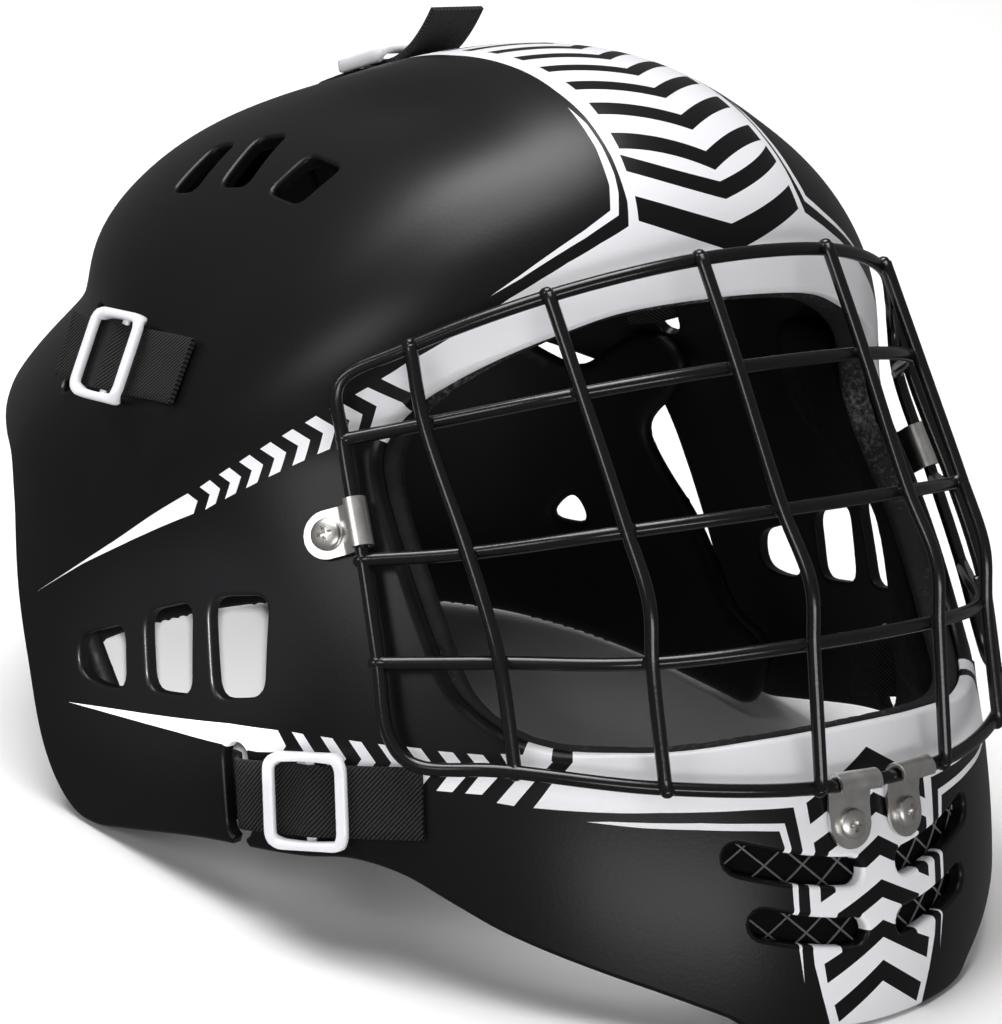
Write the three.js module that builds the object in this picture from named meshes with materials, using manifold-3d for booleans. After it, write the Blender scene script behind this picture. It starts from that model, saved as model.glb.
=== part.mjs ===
// Goalkeeper-style hockey helmet with a welded wire cage, in millimetres, +Z up.
// The wearer faces -Y, the wearer's right is -X, and the helmet stands on its lower edge at Z = 0.
import * as THREE from 'three';
import Module from 'manifold-3d';

const wasm = await Module();
wasm.setup();

const V = (x, y, z) => new THREE.Vector3(x, y, z);

// Shell form: side profile radii around the centre, from straight up and turning to the front.
const CENTRE = V(0, 10, 100);
const PROFILE_RADII = [111.3, 122.8, 125.1, 97.0, 142.3, 193.2, 259.2, 271.3,
  267.6, 250, 210, 168, 133, 134, 111.9, 104.8];
// Fullness of the cross-sections around the same turn; 2 is an ellipse, more is boxier.
const SECTION_FULLNESS = [1.7, 2.42, 1.7, 2.08, 1.7, 2.94, 1.7, 2.44];
const HALF_WIDTH = 121.3;
const WIDEN_REARWARD = 0.028;
const NARROW_UPWARD = 0.144;
const SHELL_WALL = 4;
const PAD_GAP = 0.3;

const WIRE_RADIUS = 1.8;
const STRAP_WIDTH = 20;
const STRAP_THICKNESS = 1.5;
const STRAP_CLEARANCE = 0.8;
const SCREW_HOLE_RADIUS = 2.4;
const SCREW_SHANK_RADIUS = 2.0;
const SCREW_HEAD_RADIUS = 4.2;
const CLIP_THICKNESS = 1.3;

const LONGITUDES = 42;
const LATITUDES = 23;

// Smooth closed lookup of a short table, turn in radians.
function around(table, turn) {
  const n = table.length;
  const u = (((turn / (2 * Math.PI)) % 1) + 1) % 1 * n;
  const i = Math.floor(u);
  const f = u - i;
  const at = (k) => table[(i + k + n) % n];
  const a = (1 - f) ** 3;
  const b = 3 * f ** 3 - 6 * f ** 2 + 4;
  const c = -3 * f ** 3 + 3 * f ** 2 + 3 * f + 1;
  return (a * at(-1) + b * at(0) + c * at(1) + f ** 3 * at(2)) / 6;
}

function bell(value, middle, width) {
  return Math.exp(-(((value - middle) / width) ** 2));
}

function step(value, low, high) {
  const t = Math.min(1, Math.max(0, (value - low) / (high - low)));
  return t * t * (3 - 2 * t);
}

// Relief on the plain form: rear waist groove with the bulge below it, and the raised crown panel.
function relief(p) {
  const rear = step(p.y, 25, 70);
  const waist = -4.5 * bell(p.z, 122, 13) * rear;
  const bulge = 3.5 * bell(p.z, 92, 15) * rear;
  const x = Math.abs(p.x);
  const crown = 1.8 * (1 - step(x, 26, 31)) * step(p.z, 178, 190) * step(-p.y, -80, -40);
  const scoop = -3 * bell(x, 48, 14) * bell(p.y, 10, 32) * step(p.z, 165, 185);
  return waist + bulge + crown + scoop;
}

// Below 1 inside the plain form, above 1 outside.
function fullness(p) {
  const y = p.y - CENTRE.y;
  const z = p.z - CENTRE.z;
  const turn = Math.atan2(-y, z);
  const n = around(SECTION_FULLNESS, turn);
  const radius = around(PROFILE_RADII, turn);
  const width = HALF_WIDTH * (1 + (WIDEN_REARWARD * y - NARROW_UPWARD * z) / 100);
  return ((Math.abs(p.x) / width) ** n + (Math.hypot(y, z) / radius) ** n) ** (1 / n);
}

function crossing(start, direction, far = 420) {
  let low = 0;
  let high = far;
  const p = V(0, 0, 0);
  for (let k = 0; k < 34; k += 1) {
    const middle = (low + high) / 2;
    p.copy(start).addScaledVector(direction, middle);
    if (fullness(p) < 1) low = middle;
    else high = middle;
  }
  return start.clone().addScaledVector(direction, low);
}

function normalAt(p) {
  const h = 1.5;
  const g = V(
    fullness(V(p.x + h, p.y, p.z)) - fullness(V(p.x - h, p.y, p.z)),
    fullness(V(p.x, p.y + h, p.z)) - fullness(V(p.x, p.y - h, p.z)),
    fullness(V(p.x, p.y, p.z + h)) - fullness(V(p.x, p.y, p.z - h)),
  );
  return g.normalize();
}

// Point of the surface lying 'depth' inside the shell's outer face, along a direction from the centre.
function layerPoint(direction, depth) {
  const p = crossing(CENTRE, direction);
  const slant = Math.max(0.62, normalAt(p).dot(direction));
  return p.addScaledVector(direction, (relief(p) - depth) / slant);
}


// Closed solids from points and faces; the faces are turned outward.
function closedBody(points, faces) {
  let volume = 0;
  for (const [a, b, c] of faces) volume += points[a].dot(V(0, 0, 0).crossVectors(points[b], points[c]));
  const flat = volume < 0 ? faces.map(([a, b, c]) => [a, c, b]) : faces;
  const geometry = new THREE.BufferGeometry();
  const xyz = new Float32Array(points.length * 3);
  points.forEach((p, i) => p.toArray(xyz, i * 3));
  geometry.setAttribute('position', new THREE.BufferAttribute(xyz, 3));
  geometry.setIndex(flat.flat());
  return geometry;
}

function solid(geometry) {
  const mesh = new wasm.Mesh({
    numProp: 3,
    vertProperties: new Float32Array(geometry.attributes.position.array),
    triVerts: new Uint32Array(geometry.index.array),
  });
  return new wasm.Manifold(mesh);
}

function geometryOf(body) {
  const mesh = body.getMesh();
  const geometry = new THREE.BufferGeometry();
  geometry.setAttribute('position', new THREE.BufferAttribute(new Float32Array(mesh.vertProperties), 3));
  geometry.setIndex(Array.from(mesh.triVerts));
  return geometry;
}

function ringCap(ring) {
  const normal = V(0, 0, 0);
  ring.forEach((p, i) => normal.add(V(0, 0, 0).crossVectors(p, ring[(i + 1) % ring.length])));
  normal.normalize();
  const u = Math.abs(normal.z) < 0.9 ? V(0, 0, 1).cross(normal).normalize() : V(1, 0, 0).cross(normal).normalize();
  const v = normal.clone().cross(u);
  const flat = ring.map((p) => new THREE.Vector2(p.dot(u), p.dot(v)));
  return THREE.ShapeUtils.triangulateShape(flat, []);
}

// Skin over a run of rings with equal point counts; closed runs join their ends, open runs are capped.
function skin(rings, closed = false) {
  const count = rings[0].length;
  const points = rings.flat();
  const faces = [];
  const last = closed ? rings.length : rings.length - 1;
  for (let r = 0; r < last; r += 1) {
    const a = r * count;
    const b = ((r + 1) % rings.length) * count;
    for (let i = 0; i < count; i += 1) {
      const j = (i + 1) % count;
      faces.push([a + i, a + j, b + j], [a + i, b + j, b + i]);
    }
  }
  if (!closed) {
    const cap = ringCap(rings[0]);
    const end = (rings.length - 1) * count;
    cap.forEach(([i, j, k]) => faces.push([k, j, i], [end + i, end + j, end + k]));
  }
  return closedBody(points, faces);
}

const sidePrism = (outline, x0, x1) => solid(skin([x0, x1].map((x) => outline.map(([y, z]) => V(x, y, z)))));
const frontPrism = (outline, y0, y1) => solid(skin([y0, y1].map((y) => outline.map(([x, z]) => V(x, y, z)))));
const mirrored = (outline) => outline.map(([a, b]) => [-a, b]).reverse();
const bothSides = (outline) => [...outline, ...mirrored(outline)];

function box(x0, x1, y0, y1, z0, z1) {
  return sidePrism([[y0, z0], [y1, z0], [y1, z1], [y0, z1]], x0, x1);
}

// A block with its own axes: along, across and out, from a middle point and half sizes.
function block(middle, along, across, out, a, b, c) {
  const corner = (i, j, k) => middle.clone().addScaledVector(along, i * a)
    .addScaledVector(across, j * b).addScaledVector(out, k * c);
  const ring = (k) => [corner(-1, -1, k), corner(1, -1, k), corner(1, 1, k), corner(-1, 1, k)];
  return solid(skin([ring(-1), ring(1)]));
}

// Hole through the wall with the outline of the given surface points, pushed in and out.
function punch(outline, push = 16) {
  const middle = outline.reduce((sum, p) => sum.add(p), V(0, 0, 0)).multiplyScalar(1 / outline.length);
  const out = normalAt(middle);
  return solid(skin([-push, push].map((d) => outline.map((p) => p.clone().addScaledVector(out, d)))));
}

function disc(middle, axis, radius, from, to, sides = 16) {
  const u = Math.abs(axis.z) < 0.9 ? V(0, 0, 1).cross(axis).normalize() : V(1, 0, 0).cross(axis).normalize();
  const v = axis.clone().cross(u);
  const ring = (d, r) => Array.from({ length: sides }, (_, i) => {
    const t = (i / sides) * 2 * Math.PI;
    return middle.clone().addScaledVector(axis, d)
      .addScaledVector(u, r * Math.cos(t)).addScaledVector(v, r * Math.sin(t));
  });
  return solid(skin([ring(from, radius), ring(to, radius)]));
}

// Round wire along points; frames are carried along the path so the section doesn't twist.
function wire(points, closed = false, radius = WIRE_RADIUS, sides = 6) {
  const n = points.length;
  const tangents = points.map((p, i) => {
    const a = points[closed ? (i - 1 + n) % n : Math.max(0, i - 1)];
    const b = points[closed ? (i + 1) % n : Math.min(n - 1, i + 1)];
    return b.clone().sub(a).normalize();
  });
  const inward = V(0, 1, 0.2);
  const rings = points.map((p, i) => {
    const u = inward.clone().addScaledVector(tangents[i], -inward.dot(tangents[i])).normalize();
    const v = tangents[i].clone().cross(u);
    return Array.from({ length: sides }, (_, k) => {
      const t = ((k + 0.5) / sides) * 2 * Math.PI;
      return p.clone().addScaledVector(u, radius * Math.cos(t)).addScaledVector(v, radius * Math.sin(t));
    });
  });
  return solid(skin(rings, closed));
}

function curvePoints(points, steps, closed = false) {
  const curve = new THREE.CatmullRomCurve3(points, closed, 'centripetal');
  const list = curve.getPoints(steps);
  return closed ? list.slice(0, -1) : list;
}

// Flat band along points, with its width direction given at each point.
function ribbon(points, across, width = STRAP_WIDTH, thickness = STRAP_THICKNESS) {
  const n = points.length;
  const rings = points.map((p, i) => {
    const tangent = points[Math.min(n - 1, i + 1)].clone().sub(points[Math.max(0, i - 1)]).normalize();
    const side = across[i].clone().addScaledVector(tangent, -across[i].dot(tangent)).normalize();
    const out = side.clone().cross(tangent).normalize();
    const corner = (a, b) => p.clone().addScaledVector(side, a * width / 2).addScaledVector(out, b * thickness / 2);
    return [corner(-1, -1), corner(1, -1), corner(1, 1), corner(-1, 1)];
  });
  return skin(rings);
}

// The closed form at a given depth under the outer face.
function form(depth) {
  const points = [layerPoint(V(0, 0, 1), depth)];
  for (let r = 1; r < LATITUDES; r += 1) {
    const polar = (r / LATITUDES) * Math.PI;
    for (let i = 0; i < LONGITUDES; i += 1) {
      const turn = ((i + 0.5) / LONGITUDES) * 2 * Math.PI;
      const direction = V(Math.sin(polar) * Math.cos(turn), Math.sin(polar) * Math.sin(turn), Math.cos(polar));
      points.push(layerPoint(direction, depth));
    }
  }
  points.push(layerPoint(V(0, 0, -1), depth));
  const bottom = points.length - 1;
  const at = (r, i) => 1 + (r - 1) * LONGITUDES + (i % LONGITUDES);
  const faces = [];
  for (let i = 0; i < LONGITUDES; i += 1) {
    faces.push([0, at(1, i), at(1, i + 1)]);
    faces.push([bottom, at(LATITUDES - 1, i + 1), at(LATITUDES - 1, i)]);
    const onLeft = Math.cos(((i + 1) / LONGITUDES) * 2 * Math.PI) > 0;
    for (let r = 1; r < LATITUDES - 1; r += 1) {
      const [a, b, c, d] = [at(r, i), at(r + 1, i), at(r + 1, i + 1), at(r, i + 1)];
      if (onLeft) faces.push([a, b, c], [a, c, d]);
      else faces.push([a, b, d], [b, c, d]);
    }
  }
  return solid(closedBody(points, faces));
}

// Outlines in the side view (y, z) and front view (x, z).
const LOWER_EDGE = [[-177, 0], [-168, 0], [-164, 5], [-155, 9], [-144, 13], [-124, 19], [-113, 23],
  [-100, 27], [-87, 27], [-74, 23], [-41, 15], [-8, 4], [3, 0], [11, 0]];
const REAR_EDGE = [[11, 0], [19, 5], [27, 14], [38, 34], [48, 50], [55, 62], [62, 74], [69, 83],
  [80, 86], [92, 88], [110, 91], [200, 94]];
const EYE_HALF = [[0, 168], [34, 165], [51, 159], [66, 151], [79, 140], [88, 126], [91, 108],
  [91, 84], [89, 73], [81, 67], [60, 68], [28, 73], [0, 75]];

function eyeOutline(grow) {
  const middle = [0, 118];
  return EYE_HALF.map(([x, z]) => {
    const length = Math.hypot(x - middle[0], z - middle[1]);
    const k = (length + grow) / length;
    return [x * k, middle[1] + (z - middle[1]) * k];
  });
}

function eyePrism(grow, rear = -30) {
  const half = eyeOutline(grow);
  const outline = [...half, ...mirrored(half.slice(1, -1))];
  return frontPrism(outline, -260, rear);
}

const outer = form(0);
const outerFaces = new THREE.Mesh(geometryOf(outer), new THREE.MeshBasicMaterial({ side: THREE.DoubleSide }));

// Place on the shell's outer face met by a line running outward from inside.
function outerPoint(start, direction) {
  const ray = new THREE.Raycaster(start, direction, 0, 500);
  return ray.intersectObject(outerFaces)[0].point;
}

const sidePoint = (side, y, z) => outerPoint(V(0, y, z), V(side, 0, 0));
const frontPoint = (x, z) => outerPoint(V(x, CENTRE.y, z), V(0, -1, 0));
const topPoint = (x, y) => outerPoint(V(x, y, 100), V(0, 0, 1));

const inner = form(SHELL_WALL);
const belowEdge = sidePrism([...LOWER_EDGE, [11, -220], [-300, -220], [-300, 0]], -200, 200);
const behindEdge = sidePrism([...REAR_EDGE, [260, 94], [260, -220], [11, -220]], -200, 200);
const neckCut = belowEdge.add(behindEdge);
const eyeCut = eyePrism(0);

let shellBody = outer.subtract(inner).subtract(neckCut).subtract(eyeCut);

// Side windows, crown vents and chin slots, each pair mirrored.
const WINDOWS = [
  [[19, 51], [1, 61], [-4, 44], [6, 41], [16, 41]],
  [[-6, 67], [-23, 76], [-30, 52], [-13, 47]],
  [[-28, 79], [-45, 85], [-53, 60], [-38, 54]],
];
const CROWN_VENTS = [
  [[-83, 60, 161], [-68, 64, 172], [-67, 56, 176], [-83, 50, 164]],
  [[-81, 41, 168], [-65, 48, 179], [-63, 38, 183], [-80, 31, 171]],
  [[-81, 20, 173], [-69, 19, 183], [-71, 2, 184], [-81, 5, 173]],
];
const CHIN_SLOTS = [
  { from: [6.1, 39.8], to: [43.8, 45.2] },
  { from: [5.4, 24.7], to: [38.6, 29.2] },
];
const SLOT_HALF_HEIGHT = 3.6;

function slotOutline({ from, to }) {
  const angle = Math.atan2(to[1] - from[1], to[0] - from[0]);
  const list = [];
  const r = SLOT_HALF_HEIGHT;
  for (let k = 0; k <= 4; k += 1) {
    const t = angle + Math.PI / 2 + (k / 4) * Math.PI;
    list.push([from[0] + r + r * Math.cos(t), from[1] + r * Math.sin(t)]);
  }
  for (let k = 0; k <= 4; k += 1) {
    const t = angle - Math.PI / 2 + (k / 4) * Math.PI;
    list.push([to[0] - r + r * Math.cos(t), to[1] + r * Math.sin(t)]);
  }
  return list;
}

for (const side of [-1, 1]) {
  for (const outline of WINDOWS) {
    shellBody = shellBody.subtract(punch(outline.map(([y, z]) => sidePoint(side, y, z)), 14));
  }
  for (const outline of CROWN_VENTS) {
    shellBody = shellBody.subtract(punch(outline.map(([x, y, z]) => V(-side * x, y, z)), 14));
  }
  for (const slot of CHIN_SLOTS) {
    const outline = slotOutline(slot).map(([x, z]) => [x * side, z]);
    shellBody = shellBody.subtract(frontPrism(outline, -240, -120));
  }
}

// Straps: each leaves the rear pad, comes out through a slot and runs over the shell under a slide.
function strapRun(slot, tail, place, tailLift = 0, bridge = 0) {
  const steps = 14;
  const start = place(slot[0], slot[1]);
  const out = normalAt(start);
  const ahead = place(slot[0] + (tail[0] - slot[0]) * 0.08, slot[1] + (tail[1] - slot[1]) * 0.08)
    .sub(start).normalize();
  const lift = STRAP_CLEARANCE + STRAP_THICKNESS / 2;
  const outs = [];
  const run = [
    start.clone().addScaledVector(out, -9.4).addScaledVector(ahead, -12),
    start.clone().addScaledVector(out, -7.6).addScaledVector(ahead, -7),
    start.clone().addScaledVector(out, -6).addScaledVector(ahead, -3.6),
    start.clone().addScaledVector(out, -2.2).addScaledVector(ahead, -0.6),
    start.clone().addScaledVector(out, 0.6).addScaledVector(ahead, 1.8),
  ];
  for (let k = 1; k <= steps; k += 1) {
    const t = 0.05 + (k / steps) * 0.95;
    const p = place(slot[0] + (tail[0] - slot[0]) * t, slot[1] + (tail[1] - slot[1]) * t);
    const extra = tailLift * Math.max(0, (t - 0.62) / 0.38) ** 2 + bridge * Math.max(0, 1 - t / 0.35);
    outs.push(normalAt(p));
    run.push(p.addScaledVector(outs[k - 1], lift + extra));
  }
  const across = run.map((p, i) => {
    if (i < 5) return ahead.clone().cross(out).normalize();
    const tangent = run[Math.min(run.length - 1, i + 1)].clone().sub(run[i - 1]);
    return tangent.cross(outs[i - 5]).normalize();
  });
  return { run, across, start, out, ahead };
}

function strapSlotCut({ start, out, ahead }) {
  const across = ahead.clone().cross(out).normalize();
  const along = out.clone().cross(across).normalize();
  return block(start.clone().addScaledVector(out, -2), along, across, out, 5.6, STRAP_WIDTH / 2 + 2, 9);
}

// Rectangular slide: two end bars over the strap, joined by two side bars beside it.
function slideBody(middle, along, out, lift = 0) {
  const across = along.clone().cross(out).normalize();
  const forward = out.clone().cross(across).normalize();
  const base = middle.clone().addScaledVector(out, lift);
  const inner = STRAP_WIDTH / 2 + 0.8;
  const at = (a, b, c) => base.clone().addScaledVector(forward, a).addScaledVector(across, b)
    .addScaledVector(out, c);
  let body = block(at(0, inner + 1.8, 3.2), forward, across, out, 12.5, 1.8, 2.3);
  body = body.add(block(at(0, -inner - 1.8, 3.2), forward, across, out, 12.5, 1.8, 2.3));
  for (const end of [-1, 1]) {
    body = body.add(block(at(end * 10.7, 0, 4.2), forward, across, out, 1.8, inner + 3.6, 1.3));
  }
  return body;
}

const pieces = [];
const FINISH = {
  shell: { color: 0x111214, roughness: 0.42, metalness: 0 },
  cage: { color: 0x0b0b0c, roughness: 0.25, metalness: 0.1 },
  steel: { color: 0xc9c9c6, roughness: 0.25, metalness: 1 },
  webbing: { color: 0x131313, roughness: 0.9, metalness: 0 },
  slide: { color: 0xeceaf0, roughness: 0.35, metalness: 0 },
  foam: { color: 0x17171a, roughness: 0.95, metalness: 0 },
  mesh: { color: 0x0d0d0e, roughness: 0.85, metalness: 0 },
};

function piece(name, geometry, finish) {
  const mesh = new THREE.Mesh(geometry, new THREE.MeshStandardMaterial(finish));
  mesh.name = name;
  pieces.push(mesh);
}

const UPPER_STRAP = { slot: [60, 119], tail: [4, 129] };
const LOWER_STRAP = { slot: [-51, 33], tail: [-100, 47] };
const TOP_STRAP = { slot: [0, 100], tail: [0, 41] };
const SIDE_NAMES = { '-1': 'right', 1: 'left' };

const straps = [];
for (const side of [-1, 1]) {
  const place = (y, z) => sidePoint(side, y, z);
  straps.push({ name: `upper_strap_${SIDE_NAMES[side]}`, slide: 0.42, ...strapRun(UPPER_STRAP.slot, UPPER_STRAP.tail, place, 0, 4) });
  straps.push({ name: `lower_strap_${SIDE_NAMES[side]}`, slide: 0.45, ...strapRun(LOWER_STRAP.slot, LOWER_STRAP.tail, place) });
}
straps.push({ name: 'top_strap', slide: 0.42, ...strapRun(TOP_STRAP.slot, TOP_STRAP.tail, topPoint, 14) });

for (const strap of straps) {
  strap.geometry = ribbon(strap.run, strap.across);
  shellBody = shellBody.subtract(strapSlotCut(strap));
  const outside = strap.run.slice(5);
  const index = Math.round(strap.slide * (outside.length - 1));
  const middle = outside[index].clone();
  const out = normalAt(middle);
  middle.addScaledVector(out, -STRAP_CLEARANCE - STRAP_THICKNESS / 2);
  const along = outside[index + 1].clone().sub(outside[index - 1]).normalize();
  strap.slideBody = slideBody(middle, along, out, 0.6);
}

// Cage: verticals in front of three cross wires, all welded to a closed border wire.
const UPRIGHTS = [
  { x: 22.4, line: [[-88.7, 183.0], [-108.1, 159.7], [-132.0, 129.5], [-146.6, 113.7], [-151.0, 99.0], [-162.1, 63.5]] },
  { x: 60.0, line: [[-75.0, 171.5], [-92.5, 151.0], [-116.6, 122.6], [-128.9, 107.2], [-133.4, 92.4], [-145.3, 62.6]] },
  { x: 87.1, line: [[-56, 154], [-65.2, 136.6], [-88.9, 110.0], [-101.0, 95.4], [-107.5, 85.9], [-119.0, 61.0]] },
];
const CROSS_WIRES = [
  [[22.4, -105.9, 157.9], [60.0, -90.3, 149.2], [86.0, -62.8, 134.4], [100.6, -49.5, 127.2]],
  [[22.4, -129.7, 127.6], [60.0, -114.3, 120.7], [86.0, -86.8, 108.2], [103.6, -67.5, 101.4]],
  [[22.4, -148.2, 98.2], [60.0, -130.7, 91.6], [86.0, -103.5, 84.9], [106.2, -82, 79.2]],
];
const BORDER = [[22.4, -87.5, 181.2], [60, -73.7, 169.7], [88, -53.7, 151.5], [99.6, -45, 141],
  [100, -50, 127.6], [102.9, -67.8, 101.8], [105.5, -82.2, 79.6], [106.8, -92, 63], [104, -99, 58.2],
  [89.5, -116.8, 61.4], [60.6, -143, 62.9], [22.4, -159.8, 63.5]];

const borderPath = curvePoints([
  ...BORDER.map(([x, y, z]) => V(x, y, z)).reverse(),
  ...BORDER.map(([x, y, z]) => V(-x, y, z)),
], 60, true);

// Nearest place on the border wire, with the wire's direction there.
function onBorder(p) {
  let best = { distance: Infinity };
  borderPath.forEach((a, i) => {
    const b = borderPath[(i + 1) % borderPath.length];
    const point = new THREE.Line3(a, b).closestPointToPoint(p, true, V(0, 0, 0));
    const distance = point.distanceTo(p);
    if (distance < best.distance) best = { distance, point, along: b.clone().sub(a).normalize() };
  });
  return best;
}

function cageBody() {
  let body = wire(borderPath, true);
  for (const line of CROSS_WIRES) {
    const half = line.map(([x, y, z]) => V(x, y, z));
    const other = line.map(([x, y, z]) => V(-x, y, z));
    body = body.add(wire(curvePoints([...half.slice().reverse(), ...other], 14)));
  }
  for (const { x, line } of UPRIGHTS) {
    for (const side of [-1, 1]) {
      const points = line.map(([y, z]) => V(x * side, y, z));
      body = body.add(wire(curvePoints(points, 8)));
    }
  }
  return body;
}

// Clip: plate on the shell under its screw, and a lip curled round the wire.
function clipAndScrew(screwPoint, name) {
  const { point: wirePoint, along: wireAlong } = onBorder(screwPoint);
  const out = normalAt(screwPoint);
  const along = wireAlong.clone().addScaledVector(out, -wireAlong.dot(out)).normalize();
  const toWire = wirePoint.clone().sub(screwPoint);
  let reach = along.clone().cross(out).normalize();
  if (reach.dot(toWire) < 0) reach.negate();
  const far = toWire.dot(reach);
  const high = toWire.dot(out);
  const inside = WIRE_RADIUS + 0.55;
  const low = 0.5;
  const profile = [[-6.5, low], [far - 5, low]];
  const rim = [];
  for (let k = 0; k <= 8; k += 1) {
    const t = -Math.PI * 0.62 + (k / 8) * Math.PI * 1.25;
    rim.push([far + Math.cos(t) * (inside + CLIP_THICKNESS), high + Math.sin(t) * (inside + CLIP_THICKNESS)]);
  }
  const back = [];
  for (let k = 8; k >= 0; k -= 1) {
    const t = -Math.PI * 0.62 + (k / 8) * Math.PI * 1.25;
    back.push([far + Math.cos(t) * inside, high + Math.sin(t) * inside]);
  }
  const lipped = [...profile, ...rim, ...back, [far - 5, low + CLIP_THICKNESS], [-6.5, low + CLIP_THICKNESS]];
  const half = 6.5;
  const rings = [-half, half].map((s) => lipped.map(([a, c]) => screwPoint.clone()
    .addScaledVector(along, s).addScaledVector(reach, a).addScaledVector(out, c)));
  const plate = solid(skin(rings)).subtract(disc(screwPoint, out, SCREW_HOLE_RADIUS, -2, 6));
  shellBody = shellBody.subtract(disc(screwPoint, out, SCREW_HOLE_RADIUS, -9, 6));
  piece(name, geometryOf(plate), FINISH.steel);
  const top = low + CLIP_THICKNESS + 0.3;
  const screw = disc(screwPoint, out, SCREW_HEAD_RADIUS, top, top + 2.2, 20)
    .add(disc(screwPoint, out, SCREW_SHANK_RADIUS, -3.4, top + 1));
  piece(`${name}_screw`, geometryOf(screw), FINISH.steel);
}

const cage = cageBody();
for (const side of [-1, 1]) {
  clipAndScrew(sidePoint(side, -53.4, 103), `side_clip_${SIDE_NAMES[side]}`);
  clipAndScrew(frontPoint(side * 9.7, 52), `chin_clip_${SIDE_NAMES[side]}`);
}

piece('cage', geometryOf(cage), FINISH.cage);
piece('shell', geometryOf(shellBody), FINISH.shell);
for (const strap of straps) {
  piece(strap.name, strap.geometry, FINISH.webbing);
  piece(strap.name.replace('strap', 'slide'), geometryOf(strap.slideBody), FINISH.slide);
}

// Foam lining under the shell, kept off the openings.
const padBack = form(12);
const padFront = form(SHELL_WALL + PAD_GAP);
const padLayer = padFront.subtract(padBack);
const edgingZone = eyePrism(9, -34).subtract(eyePrism(-1.5, -20));
piece('opening_edging', geometryOf(padLayer.intersect(edgingZone)), FINISH.foam);

const padLimit = eyePrism(9.6, -20);
const CHEEK = [[-92, 36], [-62, 36], [-58, 92], [-10, 97], [8, 106], [8, 134], [-40, 136], [-60, 134], [-92, 120]];
for (const side of [-1, 1]) {
  const zone = side < 0 ? sidePrism(CHEEK, -160, -70) : sidePrism(CHEEK, 70, 160);
  piece(`cheek_pad_${SIDE_NAMES[side]}`, geometryOf(padLayer.intersect(zone).subtract(padLimit)), FINISH.foam);
}
const crownZone = box(-40, 40, -62, 78, 150, 240);
piece('crown_pad', geometryOf(padLayer.intersect(crownZone).subtract(padLimit)), FINISH.foam);

const meshLayer = padFront.subtract(form(SHELL_WALL + PAD_GAP + 1.2));
const meshZone = box(-50, 50, -200, -120, 17, 51);
piece('chin_mesh', geometryOf(meshLayer.intersect(meshZone).subtract(padLimit)), FINISH.mesh);

// Rear pad: a bent sheet hung by five arms.
const REAR_PLAN = [[113, -12], [112.5, 18], [110, 48], [102, 75], [86, 99], [60, 117], [30, 126], [0, 129]];
const REAR_PAD_THICKNESS = 6;

function rearWall() {
  const right = REAR_PLAN.map(([x, y]) => [-x, y]);
  const left = REAR_PLAN.slice(0, -1).reverse();
  const path = [...right, ...left];
  const inside = path.map(([x, y], i) => {
    const [ax, ay] = path[Math.max(0, i - 1)];
    const [bx, by] = path[Math.min(path.length - 1, i + 1)];
    const length = Math.hypot(bx - ax, by - ay);
    return [x + ((by - ay) / length) * REAR_PAD_THICKNESS, y - ((bx - ax) / length) * REAR_PAD_THICKNESS];
  });
  const outline = [...path, ...inside.reverse()];
  const levels = [[-5, 0.93], [30, 0.985], [60, 1], [95, 1], [125, 0.965], [160, 0.86]];
  return solid(skin(levels.map(([z, k]) => outline.map(([x, y]) => V(x * k, 20 + (y - 20) * k, z)))));
}

const ARM_SIDE = [[150, 92], [97, 90], [83, 84], [67, 104], [58, 105], [47, 98], [50, 89], [63, 72], [38, 51],
  [15, 28], [-10, 25], [-10, 6], [51, 10], [150, 10]];
const REAR_BODY = [[16, 150], [22, 130], [60, 106], [101, 92], [101, 12], [60, 8]];
const DROP_HOLE = [[73, 36], [86, 34], [80, 46]];
let rearZone = frontPrism(bothSides(REAR_BODY.slice().reverse()), 60, 200);
for (const side of [-1, 1]) {
  rearZone = rearZone.add(side < 0 ? sidePrism(ARM_SIDE, -150, -80) : sidePrism(ARM_SIDE, 80, 150));
}
const rearPad = rearWall().intersect(rearZone).subtract(sidePrism(DROP_HOLE, -150, 150));
piece('rear_pad', geometryOf(rearPad), FINISH.foam);

const helmet = new THREE.Group();
helmet.name = 'hockey_helmet';
for (const mesh of pieces) helmet.add(mesh);

export default helmet;
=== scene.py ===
"""Looks of a goalkeeper-style hockey helmet: painted shell, wire cage, straps, clips and padding.

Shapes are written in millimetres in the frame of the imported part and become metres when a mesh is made.
The wearer faces -Y and the wearer's right side is -X.
"""

import math

import bmesh
import bpy
import numpy as np
from mathutils import Matrix
from mathutils.geometry import delaunay_2d_cdt
from mathutils.kdtree import KDTree


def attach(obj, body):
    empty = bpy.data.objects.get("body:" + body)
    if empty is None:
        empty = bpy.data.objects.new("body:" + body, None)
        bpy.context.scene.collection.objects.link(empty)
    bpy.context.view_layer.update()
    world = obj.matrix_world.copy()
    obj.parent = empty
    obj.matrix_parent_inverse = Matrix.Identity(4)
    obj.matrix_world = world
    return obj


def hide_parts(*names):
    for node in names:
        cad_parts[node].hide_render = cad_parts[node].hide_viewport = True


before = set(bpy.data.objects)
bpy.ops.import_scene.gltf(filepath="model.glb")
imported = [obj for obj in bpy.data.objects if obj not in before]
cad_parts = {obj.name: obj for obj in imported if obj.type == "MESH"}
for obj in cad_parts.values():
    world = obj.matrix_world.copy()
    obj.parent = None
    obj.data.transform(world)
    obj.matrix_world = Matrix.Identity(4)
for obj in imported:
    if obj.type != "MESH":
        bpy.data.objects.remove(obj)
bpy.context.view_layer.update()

MM = 0.001
SIDES = {-1: "right", 1: "left"}

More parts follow.
